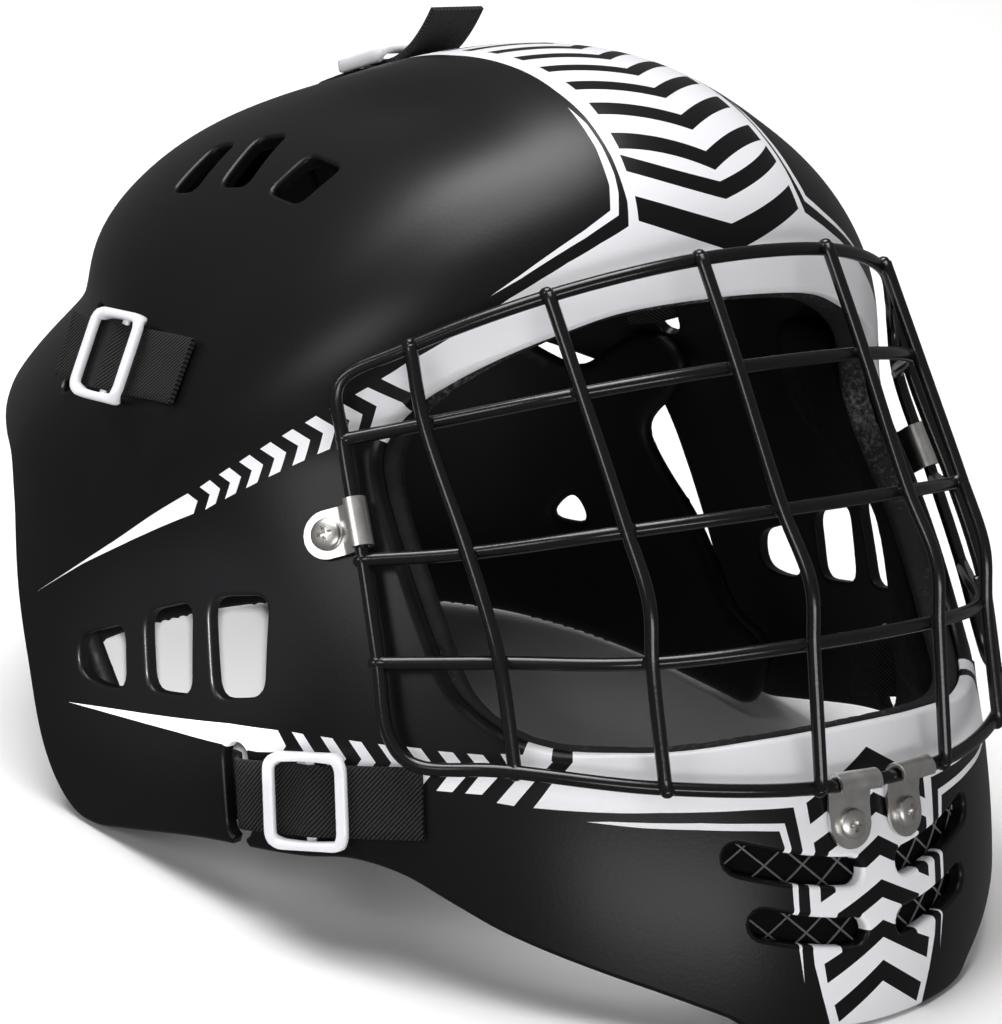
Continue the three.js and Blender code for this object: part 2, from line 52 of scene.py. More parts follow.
# Shell form: profile radii around the centre, from straight up and turning to the front.
CENTRE = np.array((0.0, 10.0, 100.0))
PROFILE_RADII = (
    111.3, 122.8, 125.1, 97.0, 142.3, 193.2, 259.2, 271.3,
    267.6, 250.0, 210.0, 168.0, 133.0, 134.0, 111.9, 104.8,
)
# Fullness of the cross-sections around the same turn; 2 is an ellipse, more is boxier.
SECTION_FULLNESS = (1.7, 2.42, 1.7, 2.08, 1.7, 2.94, 1.7, 2.44)
HALF_WIDTH = 121.3
WIDEN_REARWARD = 0.028
NARROW_UPWARD = 0.144
FARTHEST = 420.0
SHELL_WALL = 4.0
SLOPE_LIMIT = 0.62
NORMAL_REACH, CHART_REACH = 1.5, 0.004
# Low forms on the shell, each as height, then middle and width of its bells or start and end of its rise.
REAR_START, REAR_FULL = 25.0, 70.0
WAIST_HEIGHT, WAIST_BELL = -4.5, (122.0, 13.0)
BULGE_HEIGHT, BULGE_BELL = 3.5, (92.0, 15.0)
RIDGE_HEIGHT, RIDGE_ACROSS, RIDGE_UP, RIDGE_ALONG = 1.2, (18.0, 46.0), (170.0, 196.0), (-80.0, -40.0)
SCOOP_DEPTH, SCOOP_ACROSS, SCOOP_ALONG, SCOOP_UP = 3.0, (48.0, 14.0), (10.0, 32.0), (165.0, 185.0)

WIRE_RADIUS = 1.8
STRAP_WIDTH = 20.0
STRAP_SHOWN_WIDTH = 18.6
STRAP_THICKNESS = 1.5
STRAP_CLEARANCE = 0.8
SLOT_ROOM, SLOT_RADIUS = 3.0, 4.2
SCREW_HOLE_RADIUS = 2.4
SCREW_HEAD_RADIUS = 4.2
EDGE_RADIUS = 1.3
EDGE_LIFT = 1.95

# Outlines in the side view (y, z) and front view (x, z).
SHELL_EDGE = (
    (-260, 0), (-177, 0), (-168, 0.3), (-164, 4), (-155, 9), (-144, 13), (-124, 19), (-113, 23),
    (-100, 27), (-87, 27), (-74, 23), (-41, 15), (-8, 4), (3, 0.6), (11, 0.6), (19, 5), (27, 14),
    (38, 34), (48, 50), (55, 62), (62, 74), (69, 83), (80, 86), (92, 88), (110, 91), (200, 94),
)
EYE_HALF = (
    (0, 168), (34, 165), (51, 159), (66, 151), (79, 140), (88, 126), (91, 108), (91, 84),
    (89, 73), (81, 67), (60, 68), (28, 73), (0, 75),
)
WINDOWS = (
    ((19, 51), (1, 61), (-4, 44), (6, 41), (16, 41)),
    ((-6, 67), (-23, 76), (-30, 52), (-13, 47)),
    ((-28, 79), (-45, 85), (-53, 60), (-38, 54)),
)
CROWN_VENTS = (
    ((-83, 60, 161), (-68, 64, 172), (-67, 56, 176), (-83, 50, 164)),
    ((-81, 41, 168), (-65, 48, 179), (-63, 38, 183), (-80, 31, 171)),
    ((-81, 20, 173), (-69, 19, 183), (-71, 2, 184), (-81, 5, 173)),
)
CHIN_SLOTS = (((6.1, 39.8), (43.8, 45.2)), ((5.4, 24.7), (38.6, 29.2)))
SLOT_HALF_HEIGHT = 3.6
WINDOW_CORNER, VENT_CORNER = 5.0, 3.0
FLANGE_LEAST, FLANGE_MORE = 1.6, 2.2
FLANGE_BROW, FLANGE_CHIN, FLANGE_SIDE = (138.0, 156.0), 72.0, (62.0, 90.0)
EYE_MIDDLE = (0.0, 118.0)


def bell(value, middle, width):
    return np.exp(-(((value - middle) / width) ** 2))


def step(value, low, high):
    t = np.clip((value - low) / (high - low), 0.0, 1.0)
    return t * t * (3.0 - 2.0 * t)


def unit(vectors):
    vectors = np.asarray(vectors, float)
    return vectors / np.linalg.norm(vectors, axis=-1, keepdims=True)


def around(table, turn):
    """Smooth closed lookup of a short table, turn in radians."""
    values = np.asarray(table, float)
    count = len(values)
    place = (turn / (2.0 * np.pi)) % 1.0 * count
    index = np.floor(place).astype(int)
    f = place - index
    before, here, after, beyond = (values[(index + k) % count] for k in (-1, 0, 1, 2))
    total = (1.0 - f) ** 3 * before
    total += (3.0 * f**3 - 6.0 * f**2 + 4.0) * here
    total += (-3.0 * f**3 + 3.0 * f**2 + 3.0 * f + 1.0) * after
    total += f**3 * beyond
    return total / 6.0


def fullness(points):
    """Below 1 inside the plain form, above 1 outside."""
    x, y, z = (points - (0.0, CENTRE[1], CENTRE[2])).T
    turn = np.arctan2(-y, z)
    power = around(SECTION_FULLNESS, turn)
    radius = around(PROFILE_RADII, turn)
    width = HALF_WIDTH * (1.0 + (WIDEN_REARWARD * y - NARROW_UPWARD * z) / 100.0)
    across = np.abs(x) / width
    return (across**power + (np.hypot(y, z) / radius) ** power) ** (1.0 / power)


def crossing(start, direction):
    """Where lines from inside the form pass out of it."""
    low = np.zeros(len(direction))
    high = np.full(len(direction), FARTHEST)
    for _ in range(34):
        middle = (low + high) / 2.0
        within = fullness(start + direction * middle[:, None]) < 1.0
        low = np.where(within, middle, low)
        high = np.where(within, high, middle)
    return start + direction * low[:, None]


def plain_normal(points):
    slope = []
    for axis in np.eye(3) * NORMAL_REACH:
        slope.append(fullness(points + axis) - fullness(points - axis))
    return unit(np.column_stack(slope))


def relief(points):
    """Low forms on the shell: the rear waist and bulge, the crown panel and the scoops beside it."""
    x, y, z = np.abs(points[:, 0]), points[:, 1], points[:, 2]
    rear = step(y, REAR_START, REAR_FULL)
    total = WAIST_HEIGHT * bell(z, *WAIST_BELL) * rear
    total += BULGE_HEIGHT * bell(z, *BULGE_BELL) * rear
    total += RIDGE_HEIGHT * (1.0 - step(x, *RIDGE_ACROSS)) * step(z, *RIDGE_UP) * step(-y, *RIDGE_ALONG)
    total -= SCOOP_DEPTH * bell(x, *SCOOP_ACROSS) * bell(y, *SCOOP_ALONG) * step(z, *SCOOP_UP)
    return total


def chart_of(points):
    """Flat map of directions from the centre; it keeps angles, so a net drawn on it stays even."""
    direction = unit(np.atleast_2d(np.asarray(points, float)) - CENTRE)
    return 2.0 * direction[:, :2] / (1.0 + direction[:, 2:3])


def polar_chart(polar, turn):
    """Chart points from the angle away from straight up and the turn about it."""
    reach = 2.0 * np.tan(polar / 2.0)
    return np.column_stack((reach * np.cos(turn), reach * np.sin(turn)))


def direction_of(chart):
    quarter = (chart**2).sum(1) / 4.0
    flat = chart / (1.0 + quarter)[:, None]
    return np.column_stack((flat, (1.0 - quarter) / (1.0 + quarter)))


def shell_point(chart, with_relief=True):
    direction = direction_of(np.atleast_2d(chart))
    points = crossing(CENTRE, direction)
    if not with_relief:
        return points
    slant = np.maximum(SLOPE_LIMIT, (plain_normal(points) * direction).sum(1))
    return points + direction * (relief(points) / slant)[:, None]


def normals_of(place, chart, reach=CHART_REACH):
    """Outward directions of a surface given by a map from chart to space."""
    across = np.array((reach, 0.0))
    along = np.array((0.0, reach))
    u = place(chart + across) - place(chart - across)
    v = place(chart + along) - place(chart - along)
    return unit(np.cross(u, v))


def side_point(side, y, z):
    start = np.column_stack((np.zeros_like(np.atleast_1d(y), dtype=float), y, z))
    direction = np.tile((float(side), 0.0, 0.0), (len(start), 1))
    return crossing(start, direction)


def front_point(x, z):
    x = np.atleast_1d(np.asarray(x, float))
    start = np.column_stack((x, np.full_like(x, CENTRE[1]), z))
    return crossing(start, np.tile((0.0, -1.0, 0.0), (len(start), 1)))


def top_point(x, y):
    x = np.atleast_1d(np.asarray(x, float))
    start = np.column_stack((x, np.broadcast_to(y, x.shape), np.full_like(x, CENTRE[2])))
    return crossing(start, np.tile((0.0, 0.0, 1.0), (len(start), 1)))


def curve(points, closed=False, steps=8):
    """Smooth line through points, centripetal, with equal steps between neighbours."""
    points = np.asarray(points, float)
    count = len(points)
    if closed:
        ring = np.vstack((points[-1:], points, points[:2]))
    else:
        first = 2.0 * points[0] - points[1]
        last = 2.0 * points[-1] - points[-2]
        ring = np.vstack((first[None], points, last[None]))
    made = []
    for i in range(count if closed else count - 1):
        a, b, c, d = ring[i : i + 4]
        before, here, after = (max(np.linalg.norm(gap) ** 0.5, 1e-4) for gap in (b - a, c - b, d - c))
        leave = ((b - a) / before - (c - a) / (before + here) + (c - b) / here) * here
        arrive = ((c - b) / here - (d - b) / (here + after) + (d - c) / after) * here
        for k in range(steps):
            t = k / steps
            made.append(
                (2 * t**3 - 3 * t**2 + 1) * b + (t**3 - 2 * t**2 + t) * leave
                + (-2 * t**3 + 3 * t**2) * c + (t**3 - t**2) * arrive
            )
    if not closed:
        made.append(points[-1])
    return np.array(made)


def evenly(points, spacing, closed=False):
    """The same line with points at an even spacing."""
    line = np.vstack((points, points[:1])) if closed else np.asarray(points)
    lengths = np.linalg.norm(np.diff(line, axis=0), axis=1)
    total = np.concatenate(((0.0,), np.cumsum(lengths)))
    count = max(3, int(round(total[-1] / spacing)))
    at = np.linspace(0.0, total[-1], count + 1)
    if closed:
        at = at[:-1]
    return np.column_stack([np.interp(at, total, line[:, k]) for k in range(line.shape[1])])


def rounded(outline, radius, steps=5):
    """Closed outline with each corner eased over the given distance."""
    corners = np.asarray(outline, float)
    made = []
    for before, corner, after in zip(np.roll(corners, 1, 0), corners, np.roll(corners, -1, 0)):
        into, out = before - corner, after - corner
        reach_in = min(radius, 0.45 * np.linalg.norm(into))
        reach_out = min(radius, 0.45 * np.linalg.norm(out))
        start = corner + unit(into) * reach_in
        end = corner + unit(out) * reach_out
        for t in np.linspace(0.0, 1.0, steps + 1):
            made.append((1 - t) ** 2 * start + 2 * t * (1 - t) * corner + t**2 * end)
    return np.array(made)


def eased(outline, radius, spacing):
    """Outline with eased corners and even points."""
    return evenly(rounded(outline, radius), spacing, closed=True)


def turns(count):
    return np.linspace(0.0, 2.0 * np.pi, count, endpoint=False)


def both_halves(half):
    """Closed outline from its half on the wearer's left, mirrored about the midplane."""
    half = np.asarray(half, float)
    other = half[::-1] * (-1.0, 1.0)
    return np.vstack((half, other[np.abs(other[:, 0]) > 1e-6]))


def inside(points, outline):
    """Which flat points lie in a closed outline."""
    result = np.zeros(len(points), bool)
    low, high = outline.min(0), outline.max(0)
    near = np.flatnonzero(((points >= low) & (points <= high)).all(1))
    x, y = points[near].T
    found = np.zeros(len(near), bool)
    for (x0, y0), (x1, y1) in zip(outline, np.roll(outline, -1, 0)):
        crosses = (y0 > y) != (y1 > y)
        if y0 != y1:
            found ^= crosses & (x < x0 + (y - y0) * (x1 - x0) / (y1 - y0))
    result[near] = found
    return result


def within(points, loops):
    """Which flat points lie in the first outline and in none of the others."""
    kept = inside(points, loops[0])
    for loop in loops[1:]:
        kept &= ~inside(points, loop)
    return kept


def spatial(point):
    return tuple(point) if len(point) == 3 else (*point, 0.0)


def tree_of(points):
    tree = KDTree(len(points))
    for i, point in enumerate(points):
        tree.insert(spatial(point), i)
    tree.balance()
    return tree


def distances(points, tree):
    return np.array([tree.find(spatial(point))[2] for point in points])


def net(loops, extra):
    """Triangles between closed outlines and loose points, all flat: (points, triangles)."""
    points, edges = [], []
    for loop in loops:
        first = len(points)
        points.extend(map(tuple, loop))
        count = len(loop)
        edges.extend((first + i, first + (i + 1) % count) for i in range(count))
    points.extend(map(tuple, extra))
    made = delaunay_2d_cdt(points, edges, [], 0, 1e-7)
    flat = np.array([tuple(p) for p in made[0]])
    triangles = np.array([tuple(f) for f in made[2]])
    corner = flat[triangles]
    area = np.cross(corner[:, 1] - corner[:, 0], corner[:, 2] - corner[:, 0])
    triangles[area < 0] = triangles[area < 0][:, ::-1]
    return flat, triangles[np.abs(area) > 1e-12]


def renumbered(points, faces):
    """The points that the triangles use, and the triangles in their new numbers."""
    used, inverse = np.unique(faces, return_inverse=True)
    return points[used], inverse.reshape(-1, 3)


def border_chains(triangles):
    """Closed runs of vertices along the open border of a triangle net, each with its triangles."""
    owner = {}
    for t, (a, b, c) in enumerate(triangles):
        for edge in ((a, b), (b, c), (c, a)):
            owner[edge] = t
    following = {a: b for a, b in owner if (b, a) not in owner}
    chains = []
    while following:
        first, here = next(iter(following.items()))
        del following[first]
        chain = [first]
        while here != first:
            chain.append(here)
            here = following.pop(here)
        faces = [owner[(a, b)] for a, b in zip(chain, chain[1:] + chain[:1])]
        chains.append((np.array(chain), faces))
    return chains


def make_object(name, points, faces, materials, face_materials=None, normals=None, sharp=None):
    mesh = bpy.data.meshes.new(name)
    mesh.from_pydata((np.asarray(points) * MM).tolist(), [], [tuple(int(i) for i in f) for f in faces])
    for material in materials:
        mesh.materials.append(material)
    if face_materials is not None:
        mesh.polygons.foreach_set("material_index", np.asarray(face_materials, np.int32))
    if normals is None:
        body = bmesh.new()
        body.from_mesh(mesh)
        bmesh.ops.recalc_face_normals(body, faces=body.faces)
        body.to_mesh(mesh)
        body.free()
    mesh.shade_smooth()
    if sharp is not None:
        mesh.set_sharp_from_angle(angle=math.radians(sharp))
    if normals is not None:
        mesh.normals_split_custom_set_from_vertices(np.asarray(normals).tolist())
    mesh.update()
    thing = bpy.data.objects.new(name, mesh)
    bpy.context.scene.collection.objects.link(thing)
    return thing


def dress(thing, slot, *nodes):
    """Puts a piece on the frame in place of the named solids."""
    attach(thing, "root")
    if nodes:
        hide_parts(*nodes)
    return thing


def loft(rings, closed=False, capped=True):
    """Skin over a run of rings with equal point counts."""
    rings = np.asarray(rings)
    count, size = rings.shape[:2]
    faces = []
    for r in range(count if closed else count - 1):
        a, b = r * size, (r + 1) % count * size
        for i in range(size):
            j = (i + 1) % size
            faces.append((a + i, a + j, b + j, b + i))
    if capped and not closed:
        faces.append(tuple(range(size))[::-1])
        faces.append(tuple(range((count - 1) * size, count * size)))
    return rings.reshape(-1, 3), faces


def band(upper, lower):
    """Four-sided faces between two closed runs of vertices."""
    return list(zip(np.roll(upper, -1), upper, lower, np.roll(lower, -1)))


def joined(parts):
    points, faces, start = [], [], 0
    for part_points, part_faces in parts:
        points.append(part_points)
        faces.extend(tuple(i + start for i in face) for face in part_faces)
        start += len(part_points)
    return np.vstack(points), faces


def tangents_of(points, closed=False):
    if closed:
        return unit(np.roll(points, -1, 0) - np.roll(points, 1, 0))
    return unit(np.gradient(points, axis=0))


# How a wire's end is eased: distance from the end and share of the full thickness, both in radii.
TUBE_EASE = ((0.0, 0.55), (0.12, 0.85), (0.34, 1.0))
TUBE_GUIDE = np.array((0.0, 1.0, 0.2))


def tube(points, radius, closed=False, sides=16):
    """Round wire along a line, with eased ends."""
    points = np.asarray(points, float)
    if not closed:
        start = [points[0] + unit(points[1] - points[0]) * radius * d for d, _ in TUBE_EASE]
        end = [points[-1] + unit(points[-2] - points[-1]) * radius * d for d, _ in TUBE_EASE][::-1]
        shares = [share for _, share in TUBE_EASE]
        scale = shares + [1.0] * (len(points) - 2) + shares[::-1]
        points = np.vstack((start, points[1:-1], end))
    else:
        scale = [1.0] * len(points)
    tangents = tangents_of(points, closed)
    u = unit(TUBE_GUIDE - (tangents @ TUBE_GUIDE)[:, None] * tangents)
    v = np.cross(tangents, u)
    turn = (np.arange(sides) + 0.5) / sides * 2.0 * np.pi
    size = radius * np.array(scale)[:, None, None]
    ring = u[:, None] * np.cos(turn)[None, :, None] + v[:, None] * np.sin(turn)[None, :, None]
    return loft(points[:, None] + ring * size, closed)


# Shell

NET_STEP = 1.15
NET_LIMIT = 150.0
LOOP_STEP = 1.6
RIM_ANGLES = (22.5, 45.0, 67.5, 90.0)
INNER_EDGE = 0.6
BORDER_TURNS = 3000
BORDER_POLAR = (40.0, 165.0)
# The shell's materials by number: black paint, white paint, inner face.
BLACK, WHITE, INSIDE = range(3)


def edge_height(y):
    line = curve(SHELL_EDGE, steps=6)
    return np.interp(y, line[:, 0], line[:, 1])


def outer_border():
    """The shell's lower and rear edge, as an outline on the chart."""
    turn = turns(BORDER_TURNS)
    low, high = (np.full(BORDER_TURNS, limit) for limit in BORDER_POLAR)
    for _ in range(26):
        polar = (low + high) / 2.0
        points = shell_point(polar_chart(np.radians(polar), turn), False)
        above = points[:, 2] > edge_height(points[:, 1]) + EDGE_LIFT
        low, high = np.where(above, polar, low), np.where(above, high, polar)
    chart = polar_chart(np.radians(low), turn)
    return chart_of(evenly(shell_point(chart, False), LOOP_STEP, closed=True))


def flange(x, z):
    """How far the shell rolls in at the face opening: little at the brow, more at the sides."""
    below_brow = 1.0 - step(z, *FLANGE_BROW)
    from_chin = step(np.abs(x) + 0.6 * np.abs(z - FLANGE_CHIN), *FLANGE_SIDE)
    return FLANGE_LEAST + FLANGE_MORE * below_brow * from_chin


def eye_line():
    return evenly(curve(both_halves(EYE_HALF), closed=True, steps=10), LOOP_STEP, closed=True)


def grown_eye(line, grow):
    along = unit(np.roll(line, -1, 0) - np.roll(line, 1, 0))
    out = np.column_stack((-along[:, 1], along[:, 0]))
    out *= np.sign(((line - EYE_MIDDLE) * out).sum(1))[:, None]
    return line + out * np.asarray(grow)[:, None]


def slot_line(start, end, radius):
    """Outline with round ends between two points."""
    start, end = np.array(start, float), np.array(end, float)
    along = unit(end - start)
    across = np.array((-along[1], along[0]))
    start, end = start + along * radius, end - along * radius
    half_turn = np.radians(np.linspace(90.0, 270.0, 13))
    bends = [radius * (along * math.cos(t) + across * math.sin(t)) for t in half_turn]
    return np.array([start + bend for bend in bends] + [end - bend for bend in bends])


def backed(points, radius):
    """A hole's outline on the chart, moved back from the hole by its edge radius."""
    points = evenly(points, LOOP_STEP, closed=True)
    normal = plain_normal(points)
    away = unit(np.cross(tangents_of(points, closed=True), normal))
    away *= np.sign(((points - points.mean(0)) * away).sum(1).sum())
    return chart_of(points + away * radius)


def strap_point(strap, share):
    """Point on the plain shell at a share of the way from a strap's slot to its tail."""
    return strap["place"](*(a + (b - a) * share for a, b in zip(strap["slot"], strap["tail"])))


def strap_frame(strap):
    """Where a strap comes out: the point, the outward direction and the way the strap runs."""
    start = strap_point(strap, 0.0)
    ahead = strap_point(strap, 0.08) - start
    return start, plain_normal(start[None])[0], unit(ahead)


def side_place(side):
    return lambda y, z: side_point(side, np.array([y]), np.array([z]))[0]


def top_place(x, y):
    return top_point(np.array([x]), y)[0]


# "slide" is the slide's place as a share of the strap, "shift" moves it on, and "bridge" and "lift" raise
# the strap over the dip behind its slot and at its tail.
STRAPS = {}
for side, name in SIDES.items():
    STRAPS[f"upper_strap_{name}"] = {
        "slot": (60, 119), "tail": (4, 129), "place": side_place(side), "slide": 0.42, "shift": 2.6,
        "bridge": 4.0,
    }
    STRAPS[f"lower_strap_{name}"] = {
        "slot": (-51, 33), "tail": (-100, 47), "place": side_place(side), "slide": 0.45, "shift": -2.8,
    }
STRAPS["top_strap"] = {"slot": (0, 100), "tail": (0, 44), "place": top_place, "slide": 0.42, "lift": 11.5}

SCREWS = {}
for side, name in SIDES.items():
    SCREWS[f"side_clip_{name}"] = side_point(side, np.array([-53.4]), np.array([103.0]))[0]
    SCREWS[f"chin_clip_{name}"] = front_point(side * 9.7, np.array([52.0]))[0]


def strap_slot(strap):
    start, out, ahead = strap_frame(strap)
    across = unit(np.cross(ahead, out))
    along = unit(np.cross(out, across))
    reach = STRAP_WIDTH / 2 + SLOT_ROOM
    outline = slot_line((0.0, -reach), (0.0, reach), SLOT_RADIUS)
    return start + outline[:, :1] * along + outline[:, 1:] * across


def round_hole(middle, radius, sides=16):
    out = plain_normal(middle[None])[0]
    u = unit(np.cross(out, (0.3, 0.2, 1.0)))
    v = np.cross(out, u)
    turn = turns(sides)[:, None]
    return middle + radius * (np.cos(turn) * u + np.sin(turn) * v)


def hole_outlines():
    """Every opening in the shell as a chart outline with its edge radius."""
    line = eye_line()
    grow = flange(*line.T)
    grown = grown_eye(line, grow)
    holes = [(chart_of(front_point(*grown.T)), grow)]
    cuts = []
    for side in SIDES:
        for outline in WINDOWS:
            y, z = eased(outline, WINDOW_CORNER, 1.0).T
            cuts.append(side_point(side, y, z))
        for outline in CROWN_VENTS:
            cuts.append(rounded(np.array(outline) * (-side, 1.0, 1.0), VENT_CORNER))
        for start, end in CHIN_SLOTS:
            x, z = slot_line(start, end, SLOT_HALF_HEIGHT).T
            cuts.append(front_point(side * x, z))
    for strap in STRAPS.values():
        cuts.append(strap_slot(strap))
    holes.extend((backed(cut, EDGE_RADIUS), EDGE_RADIUS) for cut in cuts)
    for middle in SCREWS.values():
        holes.append((chart_of(round_hole(middle, SCREW_HOLE_RADIUS + 0.3)), 0.3))
    return holes


# Painted graphics, as outlines in the side view (y, z), front view (x, z), top view (x, y) or in space

UPPER_TAPER = (
    (40.1, 55.7), (28.1, 65.9), (11.1, 80.9), (-1.7, 92.7), (-11.1, 101.3), (-15.0, 100.5), (-15.1, 97.1),
    (5.8, 82.3), (22.0, 70.5),
)
LOWER_TAPER = (
    (18.6, 31.5), (-15.6, 41.3), (-44.5, 49.8), (-59.5, 53.3), (-62.9, 50.2), (-62.3, 48.3), (-55.2, 45.8),
    (-26.3, 40.6), (3.5, 34.5),
)
# Arrows run from the tail corner over the top to the nose and back to the notch.
UPPER_ARROW_FIRST = ((0, 0), (-2.3, 2.6), (-6.2, 1.5), (-6.5, -2.4), (-4.1, -4.8), (-3.8, -0.8))
UPPER_ARROW_LAST = ((0, 0), (-1.9, 2.3), (-7.0, 0.4), (-7.4, -5.6), (-5.2, -7.5), (-4.8, -1.7))
UPPER_ARROW_ENDS = ((-14.2, 104.0), (-40.7, 132.5))
UPPER_ARROW_COUNT = 7
UPPER_BIG_ARROW = (
    (-45.0, 137.5), (-47.0, 139.9), (-55.3, 137.3), (-54.2, 133.0), (-52.2, 128.3), (-50.2, 126.8),
    (-49.9, 135.6),
)
LOWER_ARROW = ((0, 0), (-3.1, 0.5), (-8.0, -3.4), (-6.3, -8.9), (-3.0, -9.5), (-4.5, -3.6))
LOWER_ARROW_STARTS = (
    (-63.4, 54.2), (-71.1, 55.6), (-78.2, 56.9), (-85.2, 58.1), (-91.6, 59.3), (-98.4, 60.2),
    (-104.3, 61.2),
)
LOWER_BIG_ARROW = (
    (-110.5, 62.8), (-116.3, 63.9), (-120.3, 63.2), (-119.1, 58.4), (-117.4, 51.2), (-114.0, 51.1),
    (-115.7, 57.5),
)
BROW_HALF = (
    (0, 200), (29.4, 191.5), (31.3, 185.4), (39.6, 181.3), (48.4, 176.4), (55.5, 171.8), (62.9, 166.6),
    (71.7, 159.2), (80.0, 151.7), (84.6, 147.6), (86.8, 145.2), (89.3, 142.6), (85.8, 141.0), (82.8, 140.0),
    (79.8, 139.1), (60, 135), (0, 150),
)
CROWN_HALF = (
    (31.3, -69.8), (29.8, -67.1), (29.4, -64.3), (28.1, -55.7), (26.8, -41.9), (26.2, -28.4), (24.9, -13.8),
    (23.9, -1.8), (21.6, 22.0), (17.0, 50.0), (9.0, 70.0), (0, 77),
)
CROWN_INNER = (
    (-71.0, 28.3), (-68.1, 27.2), (-63.5, 26.5), (-54.8, 25.0), (-43.0, 23.4), (-31.3, 21.9), (-18.4, 21.1),
    (-4.4, 19.9), (20.0, 17.6), (50.0, 12.5),
)
# Each chevron: z of its arm's upper and lower edge, then z of its point's upper and lower edge.
BROW_CHEVRONS = ((191.9, 186.6, 185.4, 178.8), (200.1, 196.9, 194.6, 190.8))
BROW_INNER = ((180.0, 29.0), (186.6, 28.3), (191.9, 27.2), (196.9, 26.5), (200.1, 25.8))
# Each chevron: y of its arm's rear and front edge, then y of its point's rear and front edge.
CROWN_CHEVRONS = (
    (-49.8, -54.8, -60.6, -65.2),
    (-37.9, -43.0, -49.2, -54.4), (-26.3, -31.3, -37.4, -42.4), (-14.0, -18.7, -25.6, -30.6),
    (-1.6, -6.4, -13.6, -18.6), (11.0, 6.0, -1.4, -6.4), (23.6, 18.6, 11.0, 6.0), (36.2, 31.2, 24.0, 19.0),
)
CROWN_PINSTRIPE = (
    (28.5, -36.8, 208.6), (29.7, -46.1, 204.4), (30.4, -52.0, 201.1), (32.4, -61.4, 193.9),
    (34.7, -65.8, 188.7), (42.4, -65.8, 184.1), (52.0, -64.6, 178.0), (59.7, -63.0, 172.3),
    (66.7, -60.8, 166.6), (59.8, -63.4, 171.5), (52.3, -65.3, 176.7), (42.9, -67.0, 182.4),
    (33.0, -67.3, 187.7), (31.0, -63.7, 192.4), (29.9, -59.9, 196.2), (28.9, -52.6, 201.9),
    (28.2, -44.6, 206.0),
)
BAND_HALF = (
    (0, 78), (62, 70), (71.5, 65.4), (74.2, 61.8), (77.2, 58.2), (81.3, 51.6), (72.8, 52.6), (65.1, 53.5),
    (56.8, 54.6), (47.4, 55.5), (36.0, 56.4), (24.8, 56.9), (0, 57),
)
CHIN_HALF = (
    (0, 58), (24.8, 57.0), (23.7, 47.4), (22.7, 39.0), (22.6, 33.3), (22.4, 23.7), (21.8, 18.1),
    (19.5, 10.2), (17.2, 3.3), (15.0, -4.0), (0, -4),
)
CHIN_INNER = (
    (-2.0, 12.6), (6.4, 15.5), (13.5, 18.2), (20.2, 19.4), (33.1, 19.6), (38.7, 19.5), (46.9, 20.2),
    (52.7, 20.8), (57.8, 21.1),
)
# Each chevron: z of its arm's upper and lower edge, then z of its point's upper and lower edge.
CHIN_CHEVRONS = (
    (57.8, 52.7, 69.0, 63.8), (48.3, 44.0, 58.4, 53.6), (38.0, 33.7, 48.0, 43.2), (28.4, 24.1, 37.2, 32.7),
    (18.2, 13.1, 27.0, 22.6), (7.1, 2.4, 16.7, 11.2),
)
CHIN_PINSTRIPE = (
    (71.8, 50.4), (67.2, 51.2), (61.2, 51.8), (48.3, 52.9), (36.0, 53.2), (27.7, 53.2), (26.7, 47.8),
    (25.6, 39.7), (25.7, 33.5), (25.4, 24.0), (24.6, 13.6), (26.6, 25.5), (27.1, 33.8), (27.2, 39.8),
    (28.0, 46.0), (29.3, 51.4), (36.0, 51.5), (48.5, 51.3), (61.4, 50.6),
)


def edged(outline, spacing=LOOP_STEP):
    """Closed outline with points added along its sides; every corner stays."""
    corners = np.asarray(outline, float)
    made = []
    for a, b in zip(corners, np.roll(corners, -1, 0)):
        count = max(1, int(round(np.linalg.norm(b - a) / spacing)))
        made.extend(a + (b - a) * k / count for k in range(count))
    return np.array(made)


def from_side(side, outline):
    return chart_of(side_point(side, *edged(outline).T))


def from_front(outline):
    return chart_of(front_point(*edged(outline).T))


def from_top(outline):
    return chart_of(top_point(*edged(outline).T))


def side_graphics(side):
    outlines = [UPPER_TAPER, LOWER_TAPER, UPPER_BIG_ARROW, LOWER_BIG_ARROW]
    first, last = np.array(UPPER_ARROW_FIRST, float), np.array(UPPER_ARROW_LAST, float)
    start, end = np.array(UPPER_ARROW_ENDS)
    for t in np.linspace(0.0, 1.0, UPPER_ARROW_COUNT):
        outlines.append(start + (end - start) * t + first + (last - first) * t)
    for start in LOWER_ARROW_STARTS:
        outlines.append(np.array(start) + LOWER_ARROW)
    return [from_side(side, outline) for outline in outlines]


def chevron(arm_near, arm_far, point_near, point_far, inner):
    """V between the inner lines of a panel, as (x, run) corners."""
    near, far = (np.interp(run, *np.array(inner, float).T) for run in (arm_near, arm_far))
    rear = ((-near, arm_near), (0.0, point_near), (near, arm_near))
    return (*rear, (far, arm_far), (0.0, point_far), (-far, arm_far))


PANELS = ((BROW_HALF, from_front), (CROWN_HALF, from_top), (BAND_HALF, from_front), (CHIN_HALF, from_front))
CHEVRONS = (
    (BROW_CHEVRONS, BROW_INNER, from_front),
    (CROWN_CHEVRONS, CROWN_INNER, from_top),
    (CHIN_CHEVRONS, CHIN_INNER, from_front),
)


